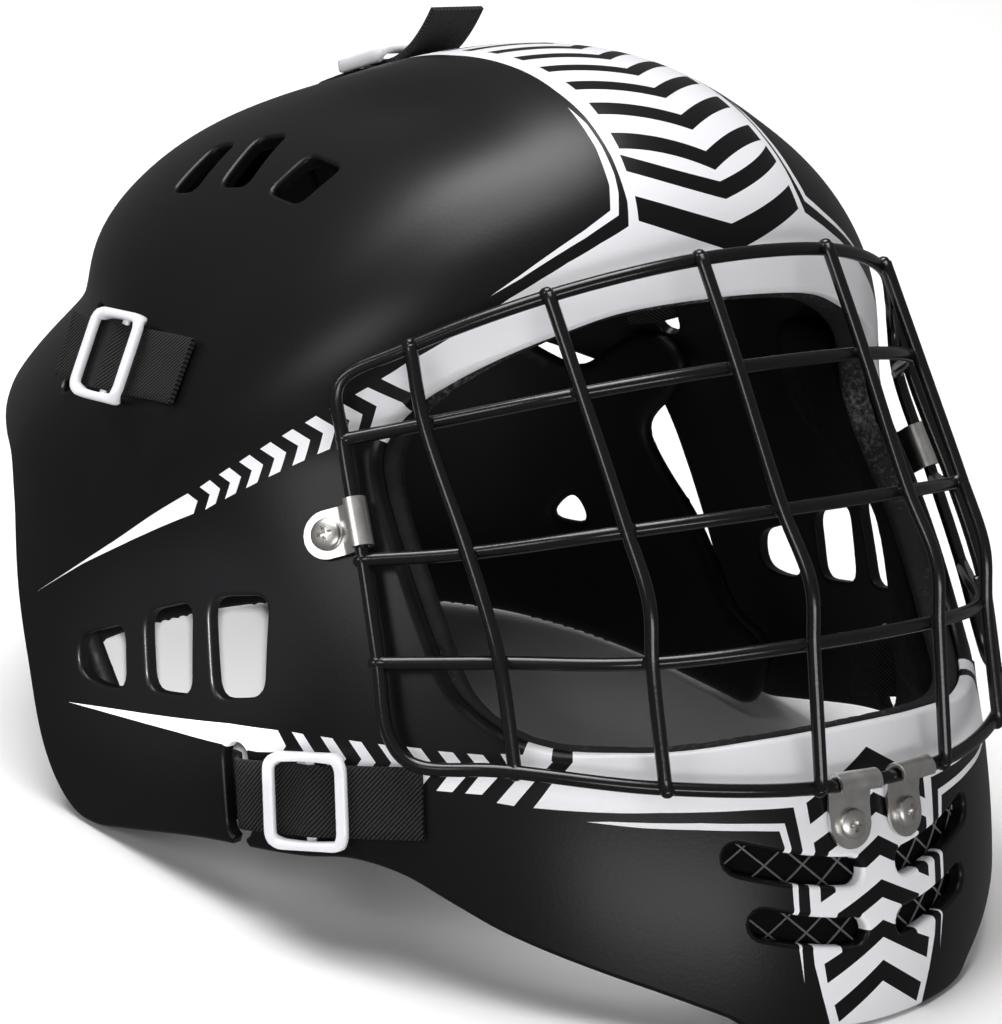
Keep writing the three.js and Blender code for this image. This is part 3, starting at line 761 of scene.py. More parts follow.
def graphics():
    """All painted outlines in order, each with the colour it lays over what came before."""
    white, black = [], []
    for side in SIDES:
        white.extend(side_graphics(side))
        white.append(chart_of(edged(np.array(CROWN_PINSTRIPE) * (side, 1.0, 1.0))))
        white.append(from_front(np.array(CHIN_PINSTRIPE) * (side, 1.0)))
    for half, place in PANELS:
        white.append(place(both_halves(half)))
    for rows, inner, place in CHEVRONS:
        black.extend(place(chevron(*edges, inner)) for edges in rows)
    return [(outline, WHITE) for outline in white] + [(outline, BLACK) for outline in black]


def net_points(loops, outline):
    """Even rings of chart points inside the outline, kept a little off the drawn lines."""
    made = []
    for ring in range(int(NET_LIMIT / NET_STEP)):
        polar = math.radians(NET_STEP * ring)
        count = max(1, int(round(2.0 * math.pi * math.sin(polar) / math.radians(NET_STEP))))
        turn = (np.arange(count) + 0.5 * (ring % 2)) / count * 2.0 * np.pi
        made.append(polar_chart(polar, turn))
    chart = np.vstack(made)
    chart = chart[inside(chart, outline)]
    drawn = tree_of(np.vstack(loops))
    gap = 0.45 * math.radians(NET_STEP) * (1.0 + (chart**2).sum(1) / 4.0)
    return chart[distances(chart, drawn) > gap]


def shell_piece(paint, materials):
    """Painted outer face, plain inner face and a rounded edge round every opening, as one closed mesh."""
    border = outer_border()
    holes = hole_outlines()
    loops = [border] + [hole for hole, _ in holes] + [outline for outline, _ in paint]
    chart, triangles = net(loops, net_points(loops, border))
    middles = chart[triangles].mean(1)
    kept = within(middles, [border] + [hole for hole, _ in holes])
    triangles, middles = triangles[kept], middles[kept]
    colour = np.full(len(triangles), BLACK)
    for outline, value in paint:
        colour[inside(middles, outline)] = value

    chart, triangles = renumbered(chart, triangles)
    outer = shell_point(chart)
    normal = normals_of(shell_point, chart)
    count = len(outer)
    points, normals = [outer, outer - normal * SHELL_WALL], [normal, -normal]
    faces = [tuple(t) for t in triangles] + [(c + count, b + count, a + count) for a, b, c in triangles]
    face_materials = list(colour) + [INSIDE] * len(triangles)

    hole_tree = tree_of(np.vstack([hole for hole, _ in holes] + [border]))
    radii = np.concatenate(
        [np.broadcast_to(radius, len(hole)) for hole, radius in holes] + [np.full(len(border), EDGE_RADIUS)]
    )
    total = 2 * count
    for chain, owners in border_chains(triangles):
        radius = radii[[hole_tree.find((*chart[i], 0.0))[1] for i in chain]]
        radius = np.minimum(radius, SHELL_WALL - INNER_EDGE)[:, None]
        here, out = outer[chain], normal[chain]
        into = unit(np.cross(tangents_of(here, closed=True), out))
        apart = here - outer[triangles[owners]].mean(1)
        into *= np.sign((apart * into).sum())
        rings, ring_normals = [], []
        for angle in np.radians(RIM_ANGLES):
            rings.append(here + into * radius * math.sin(angle) - out * radius * (1.0 - math.cos(angle)))
            ring_normals.append(into * math.sin(angle) + out * math.cos(angle))
        for angle in np.radians(RIM_ANGLES[::-1]):
            inner = INNER_EDGE * math.sin(angle)
            depth = SHELL_WALL - INNER_EDGE * (1.0 - math.cos(angle))
            rings.append(here + into * (radius - INNER_EDGE + inner) - out * depth)
            ring_normals.append(into * math.sin(angle) - out * math.cos(angle))
        size = len(chain)
        first = total
        index = [chain] + [first + k * size + np.arange(size) for k in range(len(rings))] + [chain + count]
        points.extend(rings)
        normals.extend(ring_normals)
        total += size * len(rings)
        for upper, lower in zip(index, index[1:]):
            faces.extend(band(upper, lower))
            face_materials.extend(colour[owners] if upper is not index[-2] else [INSIDE] * size)
    normals = unit(np.vstack(normals))
    return make_object("shell_skin", np.vstack(points), faces, materials, face_materials, normals)


# Padding

PADDING_BORDER_STEPS = (0.12, 0.4, 0.8)
PADDING_CLOSEST = 0.08
FLAT_REACH = 1.0
CHART_LIMIT = 8.0


def border_lines(loop, first, place, roll, reach):
    """Lines beside an outline, drawn closer together where the padding turns round its border."""
    flat = unit(np.roll(loop, -1, 0) - np.roll(loop, 1, 0))
    sideways = np.column_stack((-flat[:, 1], flat[:, 0]))
    probe = loop + sideways * reach
    scale = np.linalg.norm(place(probe) - place(loop), axis=1) / reach
    inward = inside(probe, first).mean() > 0.5
    if loop is not first:
        inward = inward and inside(probe, loop).mean() <= 0.5
    sign = 1.0 if inward else -1.0
    return [loop + sideways * sign * (share * roll / scale)[:, None] for share in PADDING_BORDER_STEPS]


def padding(place, outline, extra, depth, thickness, roll, holes=(), waves=None):
    """Soft sheet lying under a surface, rounded all round its border and its holes."""
    reach = CHART_REACH if np.abs(outline).max() < CHART_LIMIT else FLAT_REACH
    loops = [np.asarray(outline), *map(np.asarray, holes)]
    border_points = tree_of(np.vstack([place(loop) for loop in loops]))
    lines = [line for loop in loops for line in border_lines(loop, loops[0], place, roll, reach)]
    extra = np.vstack([np.asarray(extra), *lines])
    extra = extra[within(extra, loops)]
    extra = extra[distances(place(extra), border_points) > PADDING_CLOSEST * roll]
    chart, triangles = net(loops, extra)
    chart, triangles = renumbered(chart, triangles[within(chart[triangles].mean(1), loops)])
    points, normal = place(chart), normals_of(place, chart, reach)
    t = np.clip(distances(points, border_points) / roll, 0.0, 1.0)
    half = thickness / 2.0 * np.sqrt(1.0 - (1.0 - t) ** 2)
    centre = points - normal * (depth + thickness / 2.0)
    ripple = np.zeros(len(points)) if waves is None else waves(points) * t
    front = centre + normal * half[:, None]
    back = centre - normal * (half + ripple)[:, None]
    edge = np.unique(np.concatenate([chain for chain, _ in border_chains(triangles)]))
    index = np.arange(len(points)) + len(points)
    index[edge] = edge
    return renumbered(np.vstack((front, back)), np.vstack((triangles, index[triangles][:, ::-1])))


# Materials

def material(name, base, roughness, **inputs):
    """A principled material and its node tree, with plain numbers on the shader's own sockets."""
    made = bpy.data.materials.new(name)
    made.use_nodes = True
    tree = made.node_tree
    shader = tree.nodes["Principled BSDF"]
    shader.inputs["Base Color"].default_value = (*base, 1.0)
    shader.inputs["Roughness"].default_value = roughness
    for key, value in inputs.items():
        shader.inputs[key.replace("_", " ")].default_value = value
    return made, tree, shader


def texture(tree, kind, scale, source="Object", **settings):
    """A procedural texture in object space, or along a strap's own length and width."""
    coordinates = tree.nodes.new("ShaderNodeTexCoord")
    made = tree.nodes.new(f"ShaderNodeTex{kind}")
    made.inputs["Scale"].default_value = scale
    for key, value in settings.items():
        if key in made.inputs:
            made.inputs[key].default_value = value
        else:
            setattr(made, key, value)
    tree.links.new(coordinates.outputs[source], made.inputs["Vector"])
    return made


def spread(tree, source, low, high, target):
    """Sends a texture's value to a socket, from low to high."""
    scaled = tree.nodes.new("ShaderNodeMapRange")
    scaled.inputs["To Min"].default_value = low
    scaled.inputs["To Max"].default_value = high
    tree.links.new(source, scaled.inputs["Value"])
    tree.links.new(scaled.outputs["Result"], target)


def tint(tree, source, stops, target):
    """Colours a texture's value with a ramp of (place, colour)."""
    ramp = tree.nodes.new("ShaderNodeValToRGB")
    elements = ramp.color_ramp.elements
    for element, (place, colour) in zip(elements, (stops[0], stops[-1])):
        element.position = place
        element.color = (*colour, 1.0)
    for place, colour in stops[1:-1]:
        elements.new(place).color = (*colour, 1.0)
    tree.links.new(source, ramp.inputs["Fac"])
    tree.links.new(ramp.outputs["Color"], target)


def bump(tree, source, shader, strength, distance):
    made = tree.nodes.new("ShaderNodeBump")
    made.inputs["Strength"].default_value = strength
    made.inputs["Distance"].default_value = distance
    tree.links.new(source, made.inputs["Height"])
    tree.links.new(made.outputs["Normal"], shader.inputs["Normal"])


def plastic(name, dark, light, roughness, coat, shine=0.5):
    """Moulded plastic with slight clouding and a fine skin."""
    made, tree, shader = material(
        name, dark, roughness, Coat_Weight=coat, Coat_Roughness=0.18, Specular_IOR_Level=shine
    )
    clouds = texture(tree, "Noise", 9.0, Detail=3.0)
    tint(tree, clouds.outputs["Fac"], ((0.3, dark), (0.7, light)), shader.inputs["Base Color"])
    spread(tree, clouds.outputs["Fac"], roughness - 0.05, roughness + 0.06, shader.inputs["Roughness"])
    skin = texture(tree, "Noise", 900.0, Detail=2.0)
    bump(tree, skin.outputs["Fac"], shader, 0.06, 0.0004)
    return made


def foam(name, dark, light, scale, depth):
    """Closed-cell foam, scuffed lighter in patches."""
    made, tree, shader = material(name, dark, 0.8, Specular_IOR_Level=0.2)
    cells = texture(tree, "Noise", scale, Detail=6.0, Roughness=0.7)
    patches = texture(tree, "Noise", 26.0, Detail=2.0)
    worn = tree.nodes.new("ShaderNodeMath")
    worn.operation = "MULTIPLY"
    tree.links.new(cells.outputs["Fac"], worn.inputs[0])
    tree.links.new(patches.outputs["Fac"], worn.inputs[1])
    between = tuple(0.7 * a + 0.3 * b for a, b in zip(dark, light))
    stops = ((0.26, dark), (0.33, between), (0.42, light))
    tint(tree, worn.outputs["Value"], stops, shader.inputs["Base Color"])
    spread(tree, cells.outputs["Fac"], 0.9, 0.6, shader.inputs["Roughness"])
    bump(tree, cells.outputs["Fac"], shader, 0.5, depth)
    return made


def webbing_material():
    """Elastic webbing: slanting ribs across the strap, read from the strap's own length and width; the rib
    tops are painted lighter, a painted highlight.
    """
    made, tree, shader = material("webbing", (0.012, 0.012, 0.012), 0.8, Specular_IOR_Level=0.3)
    ribs = texture(tree, "Wave", 1.0, "UV", wave_type="BANDS", bands_direction="DIAGONAL", Distortion=0.6)
    ribs.inputs["Detail Scale"].default_value = 3.0
    weave = texture(tree, "Noise", 1500.0, Detail=2.0)
    mix = tree.nodes.new("ShaderNodeMath")
    mix.operation = "MULTIPLY_ADD"
    mix.inputs[1].default_value = 0.35
    tree.links.new(weave.outputs["Fac"], mix.inputs[0])
    tree.links.new(ribs.outputs["Fac"], mix.inputs[2])
    # The colour follows the rib height: near black in the grooves and lighter on the rib tops, a painted
    # highlight over the bump's shading.
    tint(tree, mix.outputs["Value"], ((0.4, (0.0015, 0.0015, 0.0015)), (0.95, (0.03, 0.029, 0.028))),
         shader.inputs["Base Color"])
    bump(tree, mix.outputs["Value"], shader, 0.8, 0.0005)
    return made


def steel_material():
    made, tree, shader = material("plated_steel", (0.78, 0.76, 0.73), 0.34, Metallic=1.0)
    grain = texture(tree, "Noise", 260.0, Detail=4.0)
    spread(tree, grain.outputs["Fac"], 0.27, 0.42, shader.inputs["Roughness"])
    tint(tree, grain.outputs["Fac"], ((0.3, (0.70, 0.68, 0.66)), (0.7, (0.82, 0.80, 0.77))),
         shader.inputs["Base Color"])
    bump(tree, grain.outputs["Fac"], shader, 0.05, 0.0003)
    return made


shell_black = plastic("shell_black", (0.004, 0.004, 0.0045), (0.0055, 0.0055, 0.006), 0.33, 0.0, 0.26)
shell_white = plastic("shell_white", (0.80, 0.80, 0.83), (0.84, 0.84, 0.87), 0.38, 0.2)
shell_inside = plastic("shell_inside", (0.005, 0.005, 0.0055), (0.007, 0.007, 0.0075), 0.5, 0.0, 0.2)
wire_black = plastic("wire_coating", (0.004, 0.004, 0.004), (0.006, 0.006, 0.006), 0.2, 0.0, 0.5)
slide_white = plastic("slide_plastic", (0.83, 0.82, 0.86), (0.87, 0.86, 0.90), 0.32, 0.3)
webbing = webbing_material()
plated_steel = steel_material()
edging_foam = foam("edging_foam", (0.012, 0.012, 0.013), (0.16, 0.16, 0.16), 700.0, 0.0005)
pad_foam = foam("pad_foam", (0.006, 0.006, 0.006), (0.014, 0.014, 0.014), 300.0, 0.0005)
pad_smooth = plastic("pad_cover", (0.004, 0.004, 0.0045), (0.006, 0.006, 0.0065), 0.5, 0.0, 0.25)
mesh_strand = plastic("mesh_strand", (0.10, 0.10, 0.10), (0.22, 0.22, 0.22), 0.35, 0.3)
# Near-black, barely shiny sheet behind the chin net: painted shade for the dark inside of the chin.
chin_shade_backing = plastic("chin_shade_backing", (0.002, 0.002, 0.002), (0.003, 0.003, 0.003), 0.7, 0.0, 0.1)


# Cage

UPRIGHTS = (
    (22.4, ((-88.7, 183), (-108.1, 159.7), (-132, 129.5), (-146.6, 113.7), (-151, 99), (-162.1, 63.5))),
    (60.0, ((-75, 171.5), (-92.5, 151), (-116.6, 122.6), (-128.9, 107.2), (-133.4, 92.4), (-145.3, 62.6))),
    (87.1, ((-56, 154), (-65.2, 136.6), (-88.9, 110), (-101, 95.4), (-107.5, 85.9), (-119, 61))),
)
CROSS_WIRES = (
    ((22.4, -105.9, 157.9), (60.0, -90.3, 149.2), (86.0, -62.8, 134.4), (100.6, -49.5, 127.2)),
    ((22.4, -129.7, 127.6), (60.0, -114.3, 120.7), (86.0, -86.8, 108.2), (103.6, -67.5, 101.4)),
    ((22.4, -148.2, 98.2), (60.0, -130.7, 91.6), (86.0, -103.5, 84.9), (106.2, -82.0, 79.2)),
)
BORDER = (
    (22.4, -87.5, 181.2), (60.0, -73.7, 169.7), (88.0, -53.7, 151.5), (99.6, -45.0, 141.0),
    (100.0, -50.0, 127.6), (102.9, -67.8, 101.8), (105.5, -82.2, 79.6), (106.8, -92.0, 63.0),
    (104.0, -99.0, 58.2), (89.5, -116.8, 61.4), (60.6, -143.0, 62.9), (22.4, -159.8, 63.5),
)
MIRROR = np.array((-1.0, 1.0, 1.0))
WELD_HALF_LENGTH, WELD_RADIUS, WELD_REACH = 2.4, 1.95, 2.6
WIRE_END = 12


def nearest_places(one, other):
    """Points where two lines of points come nearest each other."""
    apart = np.linalg.norm(one[:, None] - other[None], axis=2)
    i, j = np.unravel_index(apart.argmin(), apart.shape)
    return one[i], other[j], apart[i, j]


def weld(a, b):
    """A small smooth bead of coating where two wires meet."""
    middle, along = (a + b) / 2.0, b - a
    axis = unit(along) if np.linalg.norm(along) > 0.2 else np.array((0.0, -1.0, 0.0))
    u = unit(np.cross(axis, (1.0, 0.0, 0.0)))
    v = np.cross(axis, u)
    circle = np.cos(turns(12))[:, None] * u + np.sin(turns(12))[:, None] * v
    rings = []
    for t in np.radians(np.linspace(8.0, 172.0, 9)):
        rings.append(middle - axis * WELD_HALF_LENGTH * math.cos(t) + WELD_RADIUS * math.sin(t) * circle)
    return loft(rings)


def mirrored_run(half):
    """A line from the wearer's left over the midplane to the right, from its left half."""
    half = np.array(half)
    return np.vstack((half[::-1], half * MIRROR))


def cage_piece():
    border = curve(mirrored_run(BORDER), closed=True, steps=14)
    lines = [curve(mirrored_run(line), steps=12) for line in CROSS_WIRES]
    parts = [tube(border, WIRE_RADIUS, closed=True)] + [tube(line, WIRE_RADIUS) for line in lines]
    crossings = []
    for x, line in UPRIGHTS:
        for side in SIDES:
            upright = curve(np.array([(x * side, y, z) for y, z in line]), steps=10)
            parts.append(tube(upright, WIRE_RADIUS))
            crossings.extend((upright, line) for line in lines)
            crossings.extend((part, border) for part in (upright[:WIRE_END], upright[-WIRE_END:]))
    for line in lines:
        crossings.extend((part, border) for part in (line[:WIRE_END], line[-WIRE_END:]))
    for one, other in crossings:
        a, b, apart = nearest_places(one, other)
        if apart < WELD_REACH * WIRE_RADIUS:
            parts.append(weld(a, b))
    return border, make_object("cage_wires", *joined(parts), [wire_black])


# Clips and screws

def framed(origin, along, reach, out):
    """Turns (s, a, c) lists into space: along the wire, towards it and outward."""
    axes = np.array((along, reach, out))
    return lambda local: origin + np.asarray(local) @ axes


CLIP_HALF_WIDTH, CLIP_THICKNESS, CLIP_STANDOFF = 6.5, 1.1, 0.5
CLIP_BEND_ROOM, CLIP_BEND_START = 0.5, 5.6
CLIP_HOOK = (-0.62, 0.68)
# The plate's section: places across its half width and half thickness.
PLATE_SIDE = ((0.985, 1), (0.5, 1), (0, 1), (-0.5, 1), (-0.985, 1))
PLATE_SECTION = ((-1, -0.6), *((-s, -t) for s, t in PLATE_SIDE), (1, -0.6), (1, 0.6), *PLATE_SIDE, (-1, 0.6))


def clip_piece(name, screw, border):
    """Plate under a screw head, bent round the cage's border wire."""
    index = np.linalg.norm(border - screw, axis=1).argmin()
    wire = border[index]
    out = plain_normal(screw[None])[0]
    along = unit(border[(index + 1) % len(border)] - border[index - 1])
    along = unit(along - out * (along @ out))
    reach = unit(np.cross(along, out))
    if reach @ (wire - screw) < 0:
        reach = -reach
    far, high = (wire - screw) @ reach, (wire - screw) @ out
    place = framed(screw, along, reach, out)
    line = [(a, CLIP_STANDOFF + CLIP_THICKNESS / 2.0)
            for a in np.linspace(-CLIP_HALF_WIDTH + 0.06, far - CLIP_BEND_START, 22)]
    bend = WIRE_RADIUS + CLIP_BEND_ROOM + CLIP_THICKNESS / 2.0
    for t in np.linspace(*CLIP_HOOK, 22) * math.pi:
        line.append((far + math.cos(t) * bend, high + math.sin(t) * bend))
    line = evenly(np.array(line), 0.45)
    flat = unit(np.gradient(line, axis=0))
    up = np.column_stack((-flat[:, 1], flat[:, 0])) * CLIP_THICKNESS / 2.0
    rings = []
    for (a, c), (ua, uc) in zip(line, up):
        rounding = 1.0 if a > 0.0 else math.sqrt(max(0.0004, 1.0 - (a / CLIP_HALF_WIDTH) ** 2))
        wide = CLIP_HALF_WIDTH * rounding
        rings.append(place([(s * wide, a + ua * t, c + uc * t) for s, t in PLATE_SECTION]))
    plate = make_object(f"{name}_plate", *loft(rings), [plated_steel], sharp=50)
    dress(plate, "steel", name)
    dress(screw_head(f"{name}_pan_screw", place), "steel", f"{name}_screw")


SCREW_CROWN, SCREW_WALL = 1.5, 0.9
CROSS_TOP, CROSS_FLOOR, CROSS_LEVEL = (2.1, 0.62), (1.75, 0.4), 0.7
SCREW_RINGS = (0.97, 0.9, 0.8, 0.7, 0.6)
SHANK_SHARE, SHANK_END = 0.47, -3.2


def cross_outline(arm, half):
    quarter = ((arm, -half), (arm, half), (half, half))
    return np.array([
        (x * c - y * s, x * s + y * c) for c, s in ((1, 0), (0, 1), (-1, 0), (0, -1)) for x, y in quarter
    ])


def screw_head(name, place):
    """Pan head with a cross recess, and its shank into the shell."""
    base = CLIP_STANDOFF + CLIP_THICKNESS
    circle = np.column_stack((np.cos(turns(40)), np.sin(turns(40)))) * SCREW_HEAD_RADIUS
    crosses = [evenly(cross_outline(*size), 0.3, closed=True) for size in (CROSS_TOP, CROSS_FLOOR)]
    flat, triangles = net([circle, *crosses], np.vstack([circle * k for k in SCREW_RINGS]))
    reach = np.hypot(*flat.T) / SCREW_HEAD_RADIUS
    height = base + SCREW_WALL + SCREW_CROWN * np.sqrt(np.clip(1.0 - reach**2, 0.0, 1.0))
    sunk = inside(flat * 1.001, crosses[1]) | (distances(flat, tree_of(crosses[1])) < 1e-3)
    height = np.where(sunk, base + CROSS_LEVEL, height)
    points = [place(np.column_stack((flat, height)))]
    faces = [tuple(t) for t in triangles]
    edge = border_chains(triangles)[0][0]
    previous, total = edge, len(flat)
    for scale, level in ((1.0, base + 0.15), (0.97, base), (SHANK_SHARE, base), (SHANK_SHARE, SHANK_END)):
        points.append(place(np.column_stack((flat[edge] * scale, np.full(len(edge), level)))))
        index = total + np.arange(len(edge))
        total += len(edge)
        faces.extend(band(previous, index))
        previous = index
    faces.append(tuple(previous))
    return make_object(name, np.vstack(points), faces, [plated_steel], sharp=35)


# Straps and slides

# Outward and forward places of the strap's hidden end, from inside the shell out through the slot.
STRAP_ROOT = ((-9.4, -12), (-7.6, -7), (-6, -3.6), (-2.2, -0.6), (0.6, 1.8))
STRAP_FROM = 0.05
STRAP_STEPS, SLIDE_STEPS = 28, 14
TAIL_FROM, BRIDGE_TO = 0.62, 0.35
HUMP_HEIGHT, HUMP_AHEAD, HUMP_WIDTH = 1.5, 0.035, 3.6
SLIDE_LIFT = 0.6
RIB_MAP_SCALE = 0.5


def strap_share(k, steps):
    return STRAP_FROM + k / steps * (1.0 - STRAP_FROM)


def strap_length(strap):
    return float(np.hypot(strap["tail"][0] - strap["slot"][0], strap["tail"][1] - strap["slot"][1]))


def strap_run(strap):
    """Centre line of a strap and its outward directions."""
    start, out, ahead = strap_frame(strap)
    run = [start + out * o + ahead * a for o, a in STRAP_ROOT]
    outs = [out] * len(run)
    for k in range(1, STRAP_STEPS + 1):
        t = strap_share(k, STRAP_STEPS)
        point = strap_point(strap, t)
        direction = plain_normal(point[None])[0]
        extra = strap.get("lift", 0.0) * max(0.0, (t - TAIL_FROM) / (1.0 - TAIL_FROM)) ** 2
        extra += strap.get("bridge", 0.0) * max(0.0, 1.0 - t / BRIDGE_TO)
        past_slide = (t - strap["slide"] - HUMP_AHEAD) * strap_length(strap) / HUMP_WIDTH
        extra += HUMP_HEIGHT * math.exp(-(past_slide**2))
        run.append(point + direction * (STRAP_CLEARANCE + STRAP_THICKNESS / 2 + extra))
        outs.append(direction)
    return np.array(run), np.array(outs)


def ribbon(name, line, across):
    """Flat band with soft edges and a map of its length and width for the ribs."""
    line_fine = curve(line, steps=3)
    share = np.linspace(0.0, 1.0, len(line))
    fine = np.linspace(0.0, 1.0, len(line_fine))
    side = np.column_stack([np.interp(fine, share, across[:, k]) for k in range(3)])
    tangent = unit(np.gradient(line_fine, axis=0))
    side = unit(side - tangent * (side * tangent).sum(1)[:, None])
    out = np.cross(side, tangent)
    travel = np.concatenate(((0.0,), np.cumsum(np.linalg.norm(np.diff(line_fine, axis=0), axis=1))))
    section = [(s, -1.0) for s in np.linspace(-0.97, 0.97, 9)]
    section += [(1.0, -0.5), (1.0, 0.5)] + [(s, 1.0) for s in np.linspace(0.97, -0.97, 9)]
    section += [(-1.0, 0.5), (-1.0, -0.5)]
    rings, flat_map = [], []
    for p, s, o, d in zip(line_fine, side, out, travel):
        rings.append([
            p + s * a * STRAP_SHOWN_WIDTH / 2.0 + o * b * STRAP_THICKNESS / 2.0 for a, b in section
        ])
        flat_map.extend((d, a * STRAP_SHOWN_WIDTH / 2.0) for a, _ in section)
    points, faces = loft(rings)
    thing = make_object(name, points, faces, [webbing], sharp=60)
    layer = thing.data.uv_layers.new(name="strap_map")
    flat_map = np.array(flat_map) * RIB_MAP_SCALE
    loops = np.zeros(len(thing.data.loops), int)
    thing.data.loops.foreach_get("vertex_index", loops)
    layer.data.foreach_set("uv", flat_map[loops].astype(np.float32).ravel())
    return thing


SLIDE_HALF_ACROSS, SLIDE_HALF_ALONG = 10.9, 10.4
SLIDE_CORNER = 3.2
SLIDE_HALF_BAR, SLIDE_BAR_SHIFT = 1.55, 0.25
SLIDE_WAIST_NARROW, SLIDE_WAIST_SHIFT = 0.4, 0.35
SLIDE_TOP_SIDE, SLIDE_TOP_END = 5.2, 5.4
SLIDE_LOW_SIDE, SLIDE_LOW_END = 1.0, 3.1
SLIDE_SQUARENESS = 0.55
UNDER_BAR_HALF_WIDTH, UNDER_BAR_HALF_HEIGHT, UNDER_BAR_LEVEL = 1.5, 0.75, 1.4


def squared(value):
    return math.copysign(abs(value) ** SLIDE_SQUARENESS, value)


def slide_piece(name, middle, along, out):
    """White frame: two bars over the strap, two waisted side bars and a hidden bar under the strap."""
    across = unit(np.cross(along, out))
    place = framed(middle, across, unit(np.cross(out, across)), out)
    half = np.array((SLIDE_HALF_ACROSS, SLIDE_HALF_ALONG))
    corners = rounded(half * ((1, 1), (-1, 1), (-1, -1), (1, -1)), SLIDE_CORNER, 6)
    path = evenly(corners, 0.9, closed=True)
    tangent = unit(np.roll(path, -1, 0) - np.roll(path, 1, 0))
    sideways = np.column_stack((tangent[:, 1], -tangent[:, 0]))
    rings = []
    for (s, a), (ns, na) in zip(path, sideways):
        on_side = abs(s) > SLIDE_HALF_ACROSS - 0.4
        waist = math.cos(a / SLIDE_HALF_ALONG * math.pi / 2.0) ** 0.8 if on_side else 0.0
        wide = SLIDE_HALF_BAR - SLIDE_WAIST_NARROW * waist
        shift = SLIDE_BAR_SHIFT + SLIDE_WAIST_SHIFT * waist
        top = SLIDE_TOP_SIDE if on_side else SLIDE_TOP_END
        blend = float(step(np.array(abs(s)), SLIDE_HALF_ACROSS - 1.4, SLIDE_HALF_ACROSS - 0.1))
        low = SLIDE_LOW_END + (SLIDE_LOW_SIDE - SLIDE_LOW_END) * blend
        ring = []
        for t in np.linspace(0.0, 2.0 * np.pi, 14, endpoint=False):
            r = shift + wide * squared(math.cos(t))
            height = (low + top) / 2.0 + (top - low) / 2.0 * squared(math.sin(t))
            ring.append((s + ns * r, a + na * r, height))
        rings.append(place(ring))
    bar = []
    for s in np.linspace(-SLIDE_HALF_ACROSS, SLIDE_HALF_ACROSS, 8):
        bar.append(place([
            (s, UNDER_BAR_HALF_WIDTH * math.cos(t), UNDER_BAR_LEVEL + UNDER_BAR_HALF_HEIGHT * math.sin(t))
            for t in np.linspace(0.0, 2.0 * np.pi, 12, endpoint=False)
        ]))
    return make_object(name, *joined([loft(rings, closed=True), loft(bar)]), [slide_white], sharp=60)


def strap_pieces():
    for name, strap in STRAPS.items():
        run, outs = strap_run(strap)
        _, out, ahead = strap_frame(strap)
        root = len(STRAP_ROOT)
        across = [unit(np.cross(ahead, out))] * root
        for i in range(root, len(run)):
            tangent = run[min(len(run) - 1, i + 1)] - run[i - 1]
            across.append(unit(np.cross(tangent, outs[i])))
        dress(ribbon(f"{name}_webbing", run, np.array(across)), "webbing", name)
        t = strap_share(round(strap["slide"] * (SLIDE_STEPS - 1)) + 1, SLIDE_STEPS)
        middle = strap_point(strap, t)
        direction = plain_normal(middle[None])[0]
        outside = run[root:]
        nearest = int(round((t - STRAP_FROM) / (1.0 - STRAP_FROM) * STRAP_STEPS))
        index = min(len(outside) - 2, nearest)
        along = unit(outside[index] - outside[index - 2])
        along = unit(along - direction * (along @ direction))
        middle = middle + direction * SLIDE_LIFT + along * strap.get("shift", 0.0)
        slide_name = name.replace("strap", "slide")
        dress(slide_piece(f"{slide_name}_frame", middle, along, direction), "slide", slide_name)


# Padding pieces

CHEEK = (
    (-88, 38), (-66, 38), (-61, 62), (-56, 90), (-12, 98), (6, 107), (6, 132), (-36, 134), (-48, 126),
    (-48, 112), (-56, 97), (-65, 83), (-72, 68), (-80, 56), (-90, 52),
)
REAR_PLAN = ((113, -12), (112.5, 18), (110, 48), (102, 75), (86, 99), (60, 117), (30, 126), (0, 129))
REAR_LEAN = ((-5, 0.93), (30, 0.985), (60, 1), (95, 1), (125, 0.965), (160, 0.86))
REAR_HALF = (
    (0, 148), (12, 147), (19, 133), (34, 121), (61, 106), (84, 96), (98, 89), (112, 85), (121, 95),
    (130, 103), (140, 104), (150, 98), (147, 88), (136, 73), (146, 62), (162, 50), (184, 29), (206, 24),
    (206, 3), (150, 1.8), (100, 1.8), (50, 1.8), (0, 1.8),
)
REAR_HOLE = ((124, 36), (109, 35), (116, 46))
REAR_THICKNESS, REAR_ROLL = 6.0, 2.4
REAR_LEAN_FROM = 20.0
PAD_DEPTH = SHELL_WALL + 0.4
CHEEK_THICKNESS, CROWN_THICKNESS, PAD_ROLL = 7.6, 7.4, 5.0
CROWN_CORNERS = ((-38, -50), (38, -50), (38, 74), (-38, 74))
CHANNEL_DEPTH, CHANNEL_WIDTH, CHANNELS_ACROSS = 4.2, 3.0, (-8.0, 34.0)
EDGING_SECTION = ((-8.2, 4.5), (1.3, 4.5), (1.3, 11.6), (-8.2, 11.6))
EDGING_ROUGHNESS, EDGING_SEED = 0.12, 11


def plain_place(chart):
    return shell_point(chart, False)


def scattered(outline, spacing):
    """Staggered rows of flat points over an outline's box."""
    low, high = outline.min(0), outline.max(0)
    rows = []
    for k, y in enumerate(np.arange(low[1], high[1], spacing * 0.87)):
        x = np.arange(low[0] + (k % 2) * spacing / 2.0, high[0], spacing)
        rows.append(np.column_stack((x, np.full(len(x), y))))
    return np.vstack(rows)


def rear_line():
    half = np.array(REAR_PLAN, float)
    full = np.vstack((half[:-1] * (-1.0, 1.0), half[::-1]))
    line = curve(full, steps=12)
    travel = np.concatenate(((0.0,), np.cumsum(np.linalg.norm(np.diff(line, axis=0), axis=1))))
    return line, travel - travel[-1] / 2.0


REAR_LINE, REAR_TRAVEL = rear_line()
LEAN_LINE = curve(REAR_LEAN, steps=6)


